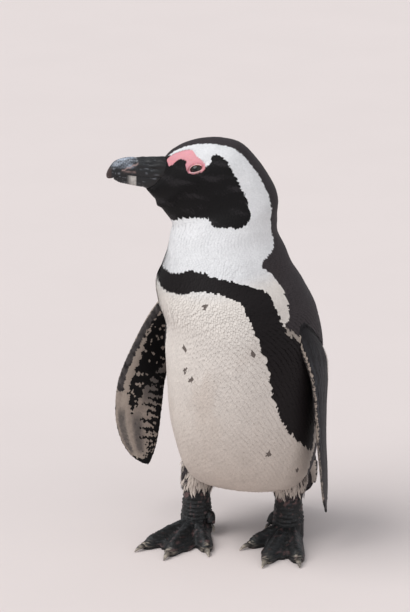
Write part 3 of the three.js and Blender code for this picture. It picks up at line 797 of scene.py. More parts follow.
def eye_axes(side):
    """Centre of an eye, the way it looks out, forward along its lids, and up across them."""
    ahead, out, up = EYE["place"]
    centre = np.array((ahead, side * out, up)) @ HEAD_AXES
    look_ahead, look_out, look_up = EYE["faces"]
    faces = unit(np.array((look_ahead, side * look_out, look_up)) @ HEAD_AXES)
    forward = HEAD_AXES[0] - faces * (HEAD_AXES[0] @ faces)
    forward = unit(forward * 0.97 - HEAD_AXES[2] * 0.2)
    forward = unit(forward - faces * (forward @ faces))
    return centre, faces, forward, np.cross(faces, forward) * side * -1


def lid_surface(side, share, angle):
    """Point of the ring of skin round an eye: an almond opening close on the ball, a rounded rim, a
    fall outward to an oval that sinks into the face, and back underneath."""
    centre, faces, forward, up = eye_axes(side)
    almond = np.abs(np.sin(angle)) ** 1.25 * np.sign(np.sin(angle))
    out = np.clip(share / 0.6, 0, 1)
    back = np.clip((share - 0.6) / 0.4, 0, 1)
    way = out * (1 - back)
    long = mix(LID["open_long"], LID["long"], way)
    high = mix(LID["open_high"], LID["high"], way)
    x = long * np.cos(angle)
    y = high * mix(almond, np.sin(angle), step(0, 0.6, way))
    ball = EYE["radius"] + LID["ball_gap"]
    inner = np.sqrt(np.maximum(ball ** 2 - (LID["open_long"] * np.cos(angle)) ** 2
                               - (LID["open_high"] * almond) ** 2, 1))
    rim = 0.75 * np.sin(np.clip(way / 0.34, 0, 1) * np.pi)
    wrinkle = 0.16 * np.cos(way * 26) * step(0.3, 0.5, way)
    z = mix(inner + 0.25, 4.0, step(0, 1, way)) + rim + wrinkle - LID["thick"] * np.sin(back * np.pi)
    z = np.where(back > 0, mix(4.0, inner + 0.25, back) - LID["thick"] * np.sin(back * np.pi), z)
    return centre + forward * x[..., None] + up * y[..., None] + faces * z[..., None]


def ring_object(name, surface, rows, columns):
    """A closed ring from surface(share, angle), whose last row meets its first."""
    share, turn = np.meshgrid(np.arange(rows) / rows, np.arange(columns) / columns, indexing="ij")
    points = surface(share, turn * 2 * np.pi).reshape(-1, 3)
    row, column = np.meshgrid(np.arange(rows), np.arange(columns), indexing="ij")
    next_row, next_column = (row + 1) % rows, (column + 1) % columns
    quads = np.stack([row * columns + column, row * columns + next_column,
                      next_row * columns + next_column, next_row * columns + column], -1).reshape(-1, 4)
    quads, tris = facing_out(points, quads, NO_TRIS)
    mesh = bpy.data.meshes.new(name)
    corners = fill_mesh(mesh, place_mm(points), quads, tris)
    write_map(mesh, "lie", np.stack([turn.ravel()[corners], share.ravel()[corners]], -1))
    mesh.shade_smooth()
    return in_scene(name, mesh)


def ball_surface(centre, radius, share, angle):
    """Point of a ball: share runs from pole to pole."""
    polar = share * np.pi
    round_it = np.stack([np.sin(polar) * np.cos(angle), np.sin(polar) * np.sin(angle), np.cos(polar)], -1)
    return centre + radius * round_it


def soften(mesh, passes, strength):
    """Evens out the joins: points by an edge between two parts, and their neighbours, move towards
    the mean of the points round them."""
    count = len(mesh.vertices)
    points = read(mesh.vertices, "co", 3).astype(float)
    edges = read(mesh.edges, "vertices", 2, np.int32)
    part, side = (read(mesh.attributes[name].data, "value", 1, np.int32) for name in ("part", "side"))
    corner_vertex = read(mesh.loops, "vertex_index", 1, np.int32)
    corner_code = np.repeat(part * 10 + side, read(mesh.polygons, "loop_total", 1, np.int32))
    low, high = np.full(count, 10 ** 6), np.full(count, -1)
    np.minimum.at(low, corner_vertex, corner_code)
    np.maximum.at(high, corner_vertex, corner_code)
    weight = (low != high).astype(float)
    degree = np.bincount(edges.ravel(), minlength=count)

    def mean_round(values):
        total = np.zeros_like(values)
        np.add.at(total, edges[:, 0], values[edges[:, 1]])
        np.add.at(total, edges[:, 1], values[edges[:, 0]])
        return total / (degree[:, None] if values.ndim > 1 else degree)

    for _ in range(passes):
        weight = np.maximum(weight, mean_round(weight) * 0.9)
    for _ in range(passes):
        points += (mean_round(points) - points) * (weight * strength)[:, None]
    mesh.vertices.foreach_set("co", points.astype(np.float32).ravel())
    mesh.update()


def skin_rows():
    """Places of the rows of the body's skin, closer together on the head."""
    trunk = np.linspace(0, 11, 118, endpoint=False)
    head = np.linspace(11, LAST_RING, 126)
    return np.concatenate([trunk, head])


def skin_of_shin(leg, share, angle):
    """Point of the skin under a shin's feathers, whose coat grows thinner towards the ankle."""
    return shin_surface(leg, share, angle, -SHIN_COAT * (1 - 0.7 * share))


def join(skin, surface, rows, columns, part, side=0, operation="UNION"):
    """Makes a tube, with rows from, to and how many, and joins it to the skin or cuts it away."""
    tube = tube_object("tube", surface, np.linspace(*rows), columns)
    combine(skin, numbered(tube, part, side), operation)


def make_skin():
    """The whole bird's skin as one closed mesh: body, flippers, tail, shins, legs, feet and lids,
    joined as solids, with eye sockets cut out and the joins evened out."""
    skin = numbered(tube_object("skin", skin_of_body, skin_rows(), 144), BODY_PART)
    for side in (1, -1):
        socket = partial(ball_surface, eye_axes(side)[0], EYE["radius"] + SOCKET_GAP)
        join(skin, socket, (0.02, 0.98, 24), 40, BODY_PART, operation="DIFFERENCE")
    for number, stations in enumerate(FLIPPERS.values()):
        blade = partial(flipper_surface, stations, grow=-FLIPPER_COAT)
        join(skin, blade, (0, 1, 84), 44, FLIPPER_PART, number)
    join(skin, partial(tail_surface, grow=-TAIL_COAT), (0, 1, 36), 56, TAIL_PART)
    for number, leg in enumerate(LEGS.values()):
        toe = partial(tube_along, hind_stops(leg, HIND_TOE), aside=(0, 0, 1))
        join(skin, partial(skin_of_shin, leg), (0, 1, 20), 48, SHIN_PART, number)
        join(skin, partial(leg_relief, leg), (0, 0.995, 112), 176, LEG_PART, number)
        join(skin, toe, (0, 1, 16), 20, LEG_PART, number)
    soften(skin.data, 3, 0.5)
    for number, side in enumerate((1, -1)):
        lid = ring_object("lid", partial(lid_surface, side), 40, 72)
        combine(skin, numbered(lid, LID_PART, number), "UNION")
    return skin


def corner_facts(mesh):
    """For each corner of the skin: its part, side, place along and degrees round the part, and point."""
    totals = read(mesh.polygons, "loop_total", 1, np.int32)
    part, side = (np.repeat(read(mesh.attributes[name].data, "value", 1, np.int32), totals)
                  for name in ("part", "side"))
    about, along = read(mesh.uv_layers["lie"].data, "uv", 2).T.astype(float)
    points = read(mesh.vertices, "co", 3)[read(mesh.loops, "vertex_index", 1, np.int32)]
    return part, side, along, about, points / MM - AXIS, totals


def paint_skin(skin, look):
    """Gives every corner of the skin the colour of the coat over it, and every face its material:
    0 under feathers, 1 bare face, 2 legs and feet."""
    mesh = skin.data
    part, side, along, about, points, totals = corner_facts(mesh)
    tint = np.ones((len(part), 3))
    body = part == BODY_PART
    tint[body], kind = body_tint(along[body], about[body] * 360, look, points[body])
    bare = np.zeros(len(part), bool)
    bare[body] = kind == BARE_KIND
    for number, name in enumerate(FLIPPERS):
        on = (part == FLIPPER_PART) & (side == number)
        tint[on] = flipper_tint(name, along[on], about[on] * 2 * np.pi, look)
    tint[part == TAIL_PART] = look.back
    hem = step(0.5, 0.75, along[part == SHIN_PART])
    tint[part == SHIN_PART] = dyed(look.belly_low, look.back_tip, hem)
    tint[part == LEG_PART] = leg_tint(points[part == LEG_PART], look)
    tint[part == LID_PART] = lid_tint(along[part == LID_PART], look)
    paint(mesh, tint, "CORNER")
    starts = np.concatenate([[0], np.cumsum(totals)[:-1]])
    look_of = np.where(part == LEG_PART, 2, np.where(bare | (part == LID_PART), 1, 0))[starts]
    mesh.polygons.foreach_set("material_index", look_of.astype(np.int32))


def leg_tint(points, look):
    """Colour of legs and feet: black, with soft pinkish-brown blotches, most on the upper tarsus."""
    blotch = 0.8 * ripple(points, 15, 31) + 0.9 * ripple(points, 5.5, 32)
    high = step(40, 50, points[:, 2])
    share = step(0.55, 1.2, blotch + 0.9 * high) * mix(0.6, 1, high)
    dust = step(0.3, 1.4, ripple(points, 4, 33) + 0.5 * ripple(points, 1.8, 34)) * 0.35
    tint = dyed(look.leg, look.leg_pink, share)
    tint = dyed(tint, look.leg_dust, dust)
    crust = step(0.1, 0.9, ripple(points, 2.6, 35) + 0.6 * ripple(points, 5, 36))
    for tip in [tip for leg in LEGS.values() for tip in leg["toes"].values()]:
        near = step(10, 3, np.linalg.norm(points[:, :2] - tip, axis=1))
        tint = dyed(tint, look.claw_pale, 0.8 * near * crust)
    return tint


def lid_tint(share, look):
    """Colour of the lids: pale pink on the rim, dusky pink outward."""
    out = np.clip(share / 0.6, 0, 1)
    return dyed(look.lid_rim, look.bare, step(0.25, 0.6, out))


# ---------------------------------------------------------------- coat

# One vane: along its length, across its width, and how much of its crown and thickness stands up.
# A root point, two diamonds (left, top, right, underside) and a tip close it.
VANE = np.array([
    (0, 0, 0, 0),
    (0.30, -0.43, 0, 0), (0.30, 0, 1, 0), (0.30, 0.43, 0, 0), (0.30, 0, 0, -1),
    (0.72, -0.47, 0, 0), (0.72, 0, 1, 0), (0.72, 0.47, 0, 0), (0.72, 0, 0, -1),
    (1, 0, 0, 0),
])
VANE_QUADS = np.array([(5, 6, 2, 1), (6, 7, 3, 2), (7, 8, 4, 3), (8, 5, 1, 4)])
VANE_TRIS = np.array([
    (0, 1, 2), (0, 2, 3), (0, 3, 4), (0, 4, 1), (9, 6, 5), (9, 7, 6), (9, 8, 7), (9, 5, 8),
])
VANE_EDGE = np.array([1, 1, 0, 1, 0, 1, 0, 1, 0, 1], bool)
PATCH = 0.003           # size of each vane's patch on the map OFBake
VANE_CELL = 0.87        # area that each vane gets, over the square of the spacing
# One over the plastic number, and its square: their multiples never repeat and stay evenly apart.
SOW_DOWN, SOW_ROUND = 0.7548776662, 0.5698402910
# Unevenness of the coat: waves and chance in the vanes' direction and lift, and chance in their shade.
SWAY_WAVE, SWAY_CHANCE = 0.05, 0.035
LIFT_WAVE, LIFT_CHANCE = 0.04, 0.025
SHADE_CHANCE = 0.02
RAGGED = 0.15           # chance in their length, where a style doesn't say


def sow(surface, span, spacing, first=0):
    """Even places on a surface. A fine grid gives each cell's area over the square of the spacing,
    which counts its vanes; two sequences that never repeat spread points over the running totals.
    Gives share, angle, and the place on an unwrap of the surface."""
    shares, angles = np.linspace(*span, 401), np.linspace(0, 2 * np.pi, 241)
    grid = surface(*np.meshgrid(shares, angles, indexing="ij"))
    down_edge, round_edge = grid[1:, :-1] - grid[:-1, :-1], grid[:-1, 1:] - grid[:-1, :-1]
    area = np.linalg.norm(np.cross(down_edge, round_edge), axis=-1)
    middle_share = (shares[1:] + shares[:-1]) / 2
    middle_angle = (angles[1:] + angles[:-1]) / 2
    apart = spacing(*np.meshgrid(middle_share, middle_angle, indexing="ij"))
    wanted = area / (VANE_CELL * apart ** 2)
    rows = np.maximum(wanted.sum(1), 1e-9)
    count = int(wanted.sum())
    number = np.arange(count) + first
    down, round_it = (number * SOW_DOWN) % 1, (number * SOW_ROUND) % 1
    at_row = np.interp(down, np.concatenate([[0], np.cumsum(rows) / rows.sum()]), np.arange(len(rows) + 1))
    row = np.minimum(at_row.astype(int), len(rows) - 1)
    totals = np.cumsum(wanted, 1) / rows[:, None]
    totals[:, -1] = 1
    ladder = (totals + np.arange(len(rows))[:, None]).ravel()
    column = np.clip(np.searchsorted(ladder, row + round_it) - row * totals.shape[1], 0, totals.shape[1] - 1)
    low = np.where(column > 0, totals[row, np.maximum(column - 1, 0)], 0)
    part = (round_it - low) / np.maximum(totals[row, column] - low, 1e-9)
    share = mix(shares[row], shares[row + 1], at_row - row)
    angle = angles[column] + np.clip(part, 0, 1) * (angles[1] - angles[0])
    return share, angle, np.stack([round_it, down], -1)


def lie_on(surface, share, angle):
    """Points of a surface with their outward normal and the direction in which share grows."""
    points = surface(share, angle)
    along, about = slopes(surface, share, angle)
    normal = unit(np.cross(along, about))
    middle = sum(surface(share, np.full_like(angle, quarter * np.pi / 2)) for quarter in range(4)) / 4
    outward = ((points - middle) * normal).sum(-1, keepdims=True)
    return points, normal * np.where(outward < 0, -1, 1), unit(along)


def map_patches(mesh, patch_at, local, corners):
    """The map OFBake: a small patch for each feather at patch_at, with its points at local places."""
    uv = mix(PATCH, 1 - PATCH, patch_at)[:, None] + local
    write_map(mesh, "OFBake", uv.reshape(-1, 2)[corners])


def coat_piece(name, roots, lie, normal, size, tint, tip_tint, patch_at):
    """A piece of coat: closed lance-shaped vanes, each from its root along lie, rising to its lift.
    size holds arrays of length, width, lift and thickness. Each vane's own colour runs from root to
    tip, and the map OFBake gives it a small patch at its root's place on the unwrap."""
    length, width, lift, thick = (np.broadcast_to(s, len(roots))[:, None, None] for s in size)
    lie = unit(lie - normal * (lie * normal).sum(-1, keepdims=True))
    side = np.cross(normal, lie)
    along, across, crown, under = (VANE[:, i][None, :, None] for i in range(4))
    rise = lift * along ** 0.8 + thick * (crown * 0.9 + under * 0.6) - 0.3 * (along == 0)
    points = roots[:, None] + lie[:, None] * along * length + side[:, None] * across * width
    points = points + normal[:, None] * rise
    first = np.arange(len(roots))[:, None, None] * len(VANE)
    quads = (first + VANE_QUADS).reshape(-1, 4)
    tris = (first + VANE_TRIS).reshape(-1, 3)
    mesh = bpy.data.meshes.new(name)
    corners = fill_mesh(mesh, place_mm(points.reshape(-1, 3)), quads, tris)
    paint(mesh, mix(tint[:, None], tip_tint[:, None], along ** 1.5))
    map_patches(mesh, patch_at, np.stack([VANE[:, 1], VANE[:, 0] - 0.5], -1) * PATCH, corners)
    sharp = VANE_EDGE[read(mesh.edges, "vertices", 2, np.int32) % len(VANE)].all(1)
    mesh.shade_smooth()
    mesh.attributes.new("sharp_edge", "BOOLEAN", "EDGE").data.foreach_set("value", sharp)
    return settle(in_scene(name, mesh), bpy.data.materials["feather_barbs"])


def on_skin(tree, roots, reach=1.5):
    """Brings each root to the nearest point of the finished skin, and says which were near enough."""
    nearest = [tree.find_nearest(root) for root in place_mm(roots).tolist()]
    found = np.array([hit[0] for hit in nearest]) / MM - AXIS
    distance = np.array([hit[3] for hit in nearest]) / MM
    return found, distance < reach


def tree_of(skin):
    return BVHTree.FromObject(skin, bpy.context.evaluated_depsgraph_get())


def dress(name, surface, span, style, tree, toward, number):
    """A piece of coat over one surface: places sown evenly over a span of it, each root set on the
    finished skin, each vane lying toward (1 along growing share, -1 against it), with soft waves and
    a little chance in its direction, length and lift. style gives spacing, length and depth in
    millimetres, mess, and tint, a function of place that returns colours and which vanes to keep."""
    rng = np.random.default_rng(SEED + number)
    share, angle, patch_at = sow(surface, span, style["spacing"], number * 977)
    points, normal, along = lie_on(surface, share, angle)
    roots = points - normal * style["depth"](share, angle)[:, None]
    roots, near = on_skin(tree, roots)
    mess = style.get("mess", 1.0)
    ragged = style.get("ragged", RAGGED)
    length = style["length"](share, angle) * rng.uniform(1 - ragged, 1 + ragged, len(share))
    across = np.cross(normal, along)
    sway = SWAY_WAVE * ripple(points, 26, number + 50) + rng.normal(0, SWAY_CHANCE, len(share))
    lie = along * toward + across * (sway * mess)[:, None]
    stretch = np.linalg.norm(surface(share + 1e-3, angle) - surface(share - 1e-3, angle), axis=-1) / 2e-3
    middle = share + toward * 0.55 * length / stretch
    end = share + toward * length / stretch
    tint, tip_tint, keep = style["tint"](middle, end, share, angle, points + lie * length[:, None] * 0.55)
    keep &= near
    shade = 1 + rng.normal(0, SHADE_CHANCE, (len(share), 1))
    uneven = LIFT_WAVE * ripple(points, 14, number + 80) + rng.normal(0, LIFT_CHANCE, len(share))
    lift = style["depth"](share, angle) * (1 + mess * uneven)
    width = style["width"] * length
    size = [value[keep] for value in (length, width, lift, np.full(len(share), style.get("thick", 0.15)))]
    tint, tip_tint = np.clip(tint * shade, 0, 1), np.clip(tip_tint * shade, 0, 1)
    return coat_piece(name, roots[keep], lie[keep], normal[keep], size, tint[keep], tip_tint[keep],
                      patch_at[keep])


def clear_of_eyes(points, long, high):
    """Which points lie outside the ovals of the lids, seen along each eye's own axis."""
    clear = np.ones(len(points), bool)
    for side in (1, -1):
        centre, faces, forward, up = eye_axes(side)
        to = points - centre
        oval = (to @ forward / long) ** 2 + (to @ up / high) ** 2 < 1
        clear &= ~(oval & (to @ faces > 0))
    return clear


# Body coat pieces: rings each covers.
BODY_SPANS = [
    (-0.4, 3.2), (3.2, 5.2), (5.2, 7.0), (7.0, 8.9), (8.9, 11.2), (11.2, 15), (15, 18.4), (18.4, 22),
]


def body_spacing(look):
    """Distance between vanes by ring: evenly spread on the trunk, closer up the neck and on the face."""
    return lambda ring, angle: look.vane_spacing * np.interp(
        ring, (0, 9, 12, 15, 18, 21, 22), (1.05, 1, 0.85, 0.68, 0.6, 0.48, 0.42))


def body_style(look):
    """How the body is feathered: short and close, longer and looser round the vent."""
    spacing = body_spacing(look)

    def length(ring, angle):
        return 3.4 * spacing(ring, angle) * np.interp(ring, (0, 1.5, 3), (1.5, 1.3, 1))

    def tint(middle, end, ring, angle, points):
        degrees = np.degrees(angle)
        colours, kind = body_tint(middle, degrees, look, points)
        tips = colours.copy()
        tips[kind == BACK_KIND] = look.back_tip
        keep = kind_of_plumage(ring, degrees) != BARE_KIND
        keep &= kind_of_plumage(end, degrees) != BARE_KIND
        keep &= clear_of_eyes(points, *LID_CLEAR)
        return colours, tips, keep

    return {"spacing": spacing, "length": length, "depth": lambda ring, angle: coat_depth(ring),
            "width": 0.52, "tint": tint, "mess": 0.5, "thick": 0.12}


def even(value):
    """A function of place with the same value everywhere."""
    return lambda share, angle: np.full(np.shape(share), value)


def flipper_style(name, look):
    """How a flipper is feathered: small stiff scale-like vanes in all but rows."""
    def tint(middle, end, share, angle, points):
        colours = flipper_tint(name, np.clip(middle, 0, 1), angle, look)
        return colours, colours, np.ones(len(share), bool)

    return {"spacing": even(look.vane_spacing * 0.74), "length": even(look.vane_spacing * 2.1),
            "depth": even(FLIPPER_COAT), "width": 0.5, "tint": tint, "thick": 0.12}


def shin_style(look):
    """How a shin is feathered: longer loose vanes that hang over the top of the bare leg, dark in
    tufts before and behind."""
    def tint(middle, end, share, angle, points):
        patchy = ripple(points, 15, 61) + 0.7 * ripple(points, 5, 62)
        lobes = np.maximum(np.cos(angle - 3.75), 0) ** 6
        lobes = lobes + 1.2 * np.maximum(np.cos(angle - 0.3), 0) ** 8
        colours = dyed(look.belly_low, look.back_tip, step(0.5, 0.8, patchy + lobes))
        return colours, colours, np.ones(len(share), bool)

    return {"spacing": even(look.vane_spacing * 0.9),
            "length": lambda share, angle: look.vane_spacing * (4.4 + 1.3 * ripple_of_turn(angle)),
            "depth": lambda share, angle: SHIN_COAT * (1 - 0.5 * share),
            "width": 0.15, "tint": tint, "mess": 6.0, "ragged": 0.45}


def ripple_of_turn(angle):
    """Soft unevenness round a leg, from -1 to 1."""
    return np.sin(3 * angle + 0.6) * 0.6 + np.sin(7 * angle) * 0.4


def tail_style(look):
    """How the root of the tail is feathered: firm coverts that overlap the quills."""
    def tint(middle, end, share, angle, points):
        colours = np.broadcast_to(look.back, (len(share), 3)).copy()
        under = (np.sin(angle) > 0.1) & (share < 0.62)
        colours[under] = look.belly_low
        return colours, mix(colours, 0.08, 0.15), np.ones(len(share), bool)

    return {"spacing": even(look.vane_spacing * 1.35), "length": even(look.vane_spacing * 4.6),
            "depth": even(1.6), "width": 0.36, "tint": tint, "thick": 0.3}


# The tail's long feathers: how many in a layer, where along the tail they start, half width and
# thickness, how far out the last ones sit and how much shorter they are, as shares of the tail, the
# shaft's half width and height, and the rows and columns of their mesh.
QUILLS = {
    "count": 14, "from": 0.42, "half": 4.6, "thick": 0.8, "outermost": 0.94, "shorter": 0.3,
    "shaft_half": 0.9, "shaft_up": 0.35, "rows": 18, "columns": 8,
}


def make_quills(look):
    """The tail's stiff feathers in two layers, above and below: each a long lens-shaped blade whose
    middle runs along the tail, with a raised shaft, straight sides and a rounded end. Outer feathers
    are shorter."""
    count, rows, columns = QUILLS["count"], QUILLS["rows"], QUILLS["columns"]
    layer = np.repeat((-1.0, 1.0), count)
    place = np.concatenate([(np.arange(count) + 0.5) / count, np.arange(count) / count]) * 2 - 1
    place = np.clip(place, -QUILLS["outermost"], QUILLS["outermost"])
    reach = 1 - QUILLS["shorter"] * np.abs(place) ** 1.6 - 0.02 * (np.arange(2 * count) % 2)
    along = np.linspace(0, 1, rows)
    turn = np.arange(columns) / columns * 2 * np.pi
    share = QUILLS["from"] + (reach[:, None] - QUILLS["from"]) * along
    row = curve_through(TAIL, share * (len(TAIL) - 1))
    step_on = curve_through(TAIL[:, :3], share * (len(TAIL) - 1) + 0.02) - row[..., :3]
    out = unit(np.cross(step_on, np.array([1.0, 0, 0])))
    half = QUILLS["half"] * np.sqrt(np.clip(1 - np.maximum(along - 0.8, 0) ** 2 * 24.5, 0.002, 1))
    layered = (0.25 * (np.arange(2 * count) % 2))[:, None]
    lift = layer[:, None] * (row[..., 4] / 2 * np.sqrt(1 - 0.8 * place[:, None] ** 2) + layered)
    middle = row[..., :3] + out * lift[..., None]
    middle[..., 0] += place[:, None] * row[..., 3] * 0.92
    lens_x = half[None, :, None] * np.cos(turn)
    shaft = np.exp(-(lens_x / QUILLS["shaft_half"]) ** 2) * QUILLS["shaft_up"]
    lens_z = np.sin(turn) * (QUILLS["thick"] / 2 * np.sqrt(half / QUILLS["half"])[None, :, None] + shaft)
    points = middle[:, :, None] + out[:, :, None] * lens_z[..., None]
    points[..., 0] += lens_x
    per = rows * columns + 2
    points = np.concatenate([points.reshape(2 * count, -1, 3), points[:, 0].mean(1)[:, None],
                             points[:, -1].mean(1)[:, None]], 1)
    first = np.arange(2 * count)[:, None, None] * per
    grid, ends = facing_out(points[0], *tube_faces(rows, columns))
    mesh = bpy.data.meshes.new("tail_feathers")
    corners = fill_mesh(mesh, place_mm(points.reshape(-1, 3)), (first + grid).reshape(-1, 4),
                        (first + ends).reshape(-1, 3))
    tone = np.concatenate([np.repeat(along, columns), (0, 1)])
    tint = dyed(look.back, look.back_tip, 0.8 * tone)
    paint(mesh, np.tile(tint, (2 * count, 1)))
    patch_at = np.stack([place / 2 + 0.5, np.where(layer > 0, 0.25, 0.75)], -1)
    local = np.stack([np.tile(np.cos(turn), rows) * 0.5, np.repeat(along, columns)], -1) * PATCH
    local = np.concatenate([local, [[0, 0], [0, PATCH]]])
    map_patches(mesh, patch_at, local, corners)
    mesh.shade_smooth()
    return settle(in_scene("tail_feathers", mesh), bpy.data.materials["feather_barbs"])


# ---------------------------------------------------------------- eyes, bill and claws


def points_of(thing):
    """A piece's points in millimetres round the trunk axis."""
    return read(thing.data.vertices, "co", 3) / MM - AXIS


def make_eye(side, look):
    """An eyeball whose poles lie along its line of sight: black pupil, dark brown iris with fine
    spokes, black rim."""
    centre, faces, forward, up = eye_axes(side)

    def surface(share, angle):
        polar = share * np.pi
        flat = forward * np.cos(angle)[..., None] + up * np.sin(angle)[..., None]
        ray = faces * np.cos(polar)[..., None] + flat * np.sin(polar)[..., None]
        return centre + EYE["radius"] * ray

    name = "left" if side > 0 else "right"
    eye = tube_object("eyeball_" + name, surface, np.linspace(0.004, 0.996, 72), 72)
    to = points_of(eye) - centre
    out = np.linalg.norm(to - np.outer(to @ faces, faces), axis=1)
    out = np.where(to @ faces > 0, out, EYE["radius"])
    spokes = np.sin(np.arctan2(to @ up, to @ forward) * EYE["spokes"]) * 0.5 + 0.5
    iris = dyed(look.iris, look.iris * 0.45, spokes * 0.6)
    dark = step(*EYE["pupil"], out) - step(*EYE["iris"], out)
    ball = dyed(look.pupil, iris, dark)
    corner = step(4.6, 6.4, -(to @ forward))
    paint(eye.data, dyed(ball, look.eye_corner, corner))
    return settle(eye, bpy.data.materials["eye_cornea"], ["eye_" + name])


def bill_relief(upper, ahead, up, spot):
    """Height of the horn's relief: long shallow wrinkles behind, a groove from the nostril forward,
    a step where the nail's plate begins, and weak growth lines across the front."""
    rear = 1 - step(108, 116, ahead)
    waves = ripple(spot * (0.22, 1, 1), 4.2, 71) + 0.5 * ripple(spot * (0.3, 1, 1), 2.4, 72)
    height = 0.34 * waves * (0.3 + 0.7 * rear)
    edge = 113 + (up - 422) * 0.25
    height -= 0.45 * np.exp(-((ahead - edge) / 1.1) ** 2)
    height += 0.12 * np.sin(ahead * 2.4) * window(114, 118, 134, 140, ahead)
    if upper:
        groove = np.exp(-((up - (421.4 + (ahead - 84) * 0.04)) / 1.4) ** 2)
        height -= 0.7 * groove * rear * step(82, 88, ahead)
        nostril = ((ahead - 97) / 4.2) ** 2 + ((up - 422) / 1.0) ** 2
        height -= 1.0 * np.exp(-nostril)
    return height


LIP = 0.9           # how far the upper bill's edge hangs over the lower
LIP_OUT = 0.35      # and how far outside it
SQUARE_LIP = 7      # squareness of the flat sides that meet


def make_bill(name, stops, look):
    """Half of the bill: squared-off arches along the head's heading, angle from the top edge, almost
    flat where the halves meet, with the horn's relief and colours."""
    upper = name == "upper"

    def surface(share, angle):
        row = curve_through(stops, share * (len(stops) - 1))
        ahead, top, low, half = np.moveaxis(row, -1, 0)
        low = low - (LIP if upper else 0)
        top = top + (0 if upper else LIP)
        half = half + (LIP_OUT * step(0, 0.2, 1 - share) if upper else 0)
        arched = (np.cos(angle) > 0) == upper
        across, rise = (np.where(arched, square_off(way, BILL_FULL), square_off(way, SQUARE_LIP))
                        for way in (np.sin(angle), np.cos(angle)))
        waist = mix(low, top, 0.25 if upper else 0.75)
        up = np.where(rise > 0, waist + rise * (top - waist), waist + rise * (waist - low))
        half = half * np.where(rise > 0, 1 - (0.3 if upper else 0) * rise ** 2, 1)
        out = across * half
        spot = np.stack([ahead, out, up], -1)
        fade = window(0, 0.06, 0.93, 1, share) * np.where(arched, 1, 0.3)
        bump = bill_relief(upper, ahead, up, spot) * fade
        away = unit(np.stack([np.zeros_like(out), across, rise * 0.6], -1))
        return (spot + away * bump[..., None]) @ HEAD_AXES

    bill = tube_object("horn_" + name, surface, np.linspace(0, 1, 190), 112)
    paint(bill.data, bill_tint(upper, points_of(bill) @ HEAD_AXES.T, look))
    return settle(bill, bpy.data.materials["bill_keratin"], ["bill_" + name])


def bill_tint(upper, local, look):
    """Colour of the horn, by place ahead, out and up: black with pale grey wrinkle streaks, partly rubbed
    horn and partly painted glints, a painted bluish-grey highlight on the top of the front with a dark tip,
    pinkish streaks along the side, and a pale band across the lower half."""
    ahead, _, up = local.T
    wrinkle = ripple(local * (0.16, 1, 1), 3.2, 73) + 0.7 * ripple(local * (0.25, 1, 1), 1.7, 74)
    cloud = 0.55 + 0.4 * ripple(local * (0.6, 1, 1), 7, 76) + 0.3 * ripple(local, 2.4, 77)
    tint = dyed(look.face, look.bill, step(86, 108, ahead))
    # Pale grey streaks along the rear wrinkles: partly rubbed horn, partly painted glints.
    worn = 0.8 * step(0.6, 1.3, wrinkle) * step(86, 98, ahead)
    tint = dyed(tint, look.bill_wear_and_glint, worn)
    if upper:
        # Painted highlight: a mottled bluish-grey on the top of the upper bill's front.
        highlight_on_dome = window(110, 121, 136, 147, ahead) * step(419, 425, up)
        grey = highlight_on_dome ** 2 * np.clip(0.9 * cloud, 0.05, 1) ** 1.5
        tint = dyed(tint, look.bill_highlight, grey)
        line = 426.2 - (ahead - 114.5) * 0.44
        upper_line = up - line + 0.5 * np.sin(ahead)
        pink = window(111.5, 113.5, 129, 131, ahead) * np.exp(-(upper_line / 0.8) ** 2)
        lower_line = up - 418.2 + 0.4 * np.sin(ahead * 0.7)
        second = window(114, 116, 127, 129, ahead) * np.exp(-(lower_line / 0.8) ** 2)
        tint = dyed(tint, look.bill_pink, 0.65 * np.maximum(pink, 0.6 * second))
        tip = step(139.5, 142.5, ahead) * (1 - step(420, 423, up))
        tint = dyed(tint, look.bill_tip, 0.6 * tip)
    else:
        upright = ripple(local * (1, 1, 0.2), 2.4, 75)
        band = window(114.3, 115.2, 119, 125.5, ahead)
        tint = dyed(tint, look.bill_pale, band * (0.85 + 0.15 * upright))
    return np.clip(tint, 0, 1)


def make_claw(name, stops, aside, look, node):
    """A curved pointed claw through its stops, with faint ridges lengthwise, paler towards its end."""
    def surface(share, angle):
        spot = tube_along(stops, share, angle, aside, 0.85)
        middle = curve_through(stops, share * (len(stops) - 1))[..., :3]
        ridges = 1 + 0.05 * np.sin(angle * 9) * np.sin(np.clip(share, 0, 1) * np.pi)
        return middle + (spot - middle) * ridges[..., None]

    claw = tube_object(name, surface, np.linspace(0, 1, 40), 32)
    points = points_of(claw)
    from_root = np.linalg.norm(points - stops[0, :3], axis=1)
    from_root = from_root / from_root.max()
    worn = step(0.2, 0.9, from_root) * (0.55 + 0.45 * ripple(points, 5, 91))
    paint(claw.data, np.clip(dyed(look.claw, look.claw_pale, worn), 0, 1))
    return settle(claw, bpy.data.materials["claw_keratin"], [node])


# ---------------------------------------------------------------- materials


def add(tree, kind, fields=None, inputs=None):
    """Adds a shader node. fields are its own settings; each input gets a value or another's output."""
    made = tree.nodes.new("ShaderNode" + kind)
    for name, value in (fields or {}).items():
        setattr(made, name, value)
    for name, value in (inputs or {}).items():
        if isinstance(value, bpy.types.NodeSocket):
            tree.links.new(value, made.inputs[name])
        else:
            made.inputs[name].default_value = value
    return made


TEXTURES = {"noise": ("TexNoise", {}), "cells": ("TexVoronoi", {"feature": "SMOOTH_F1"})}

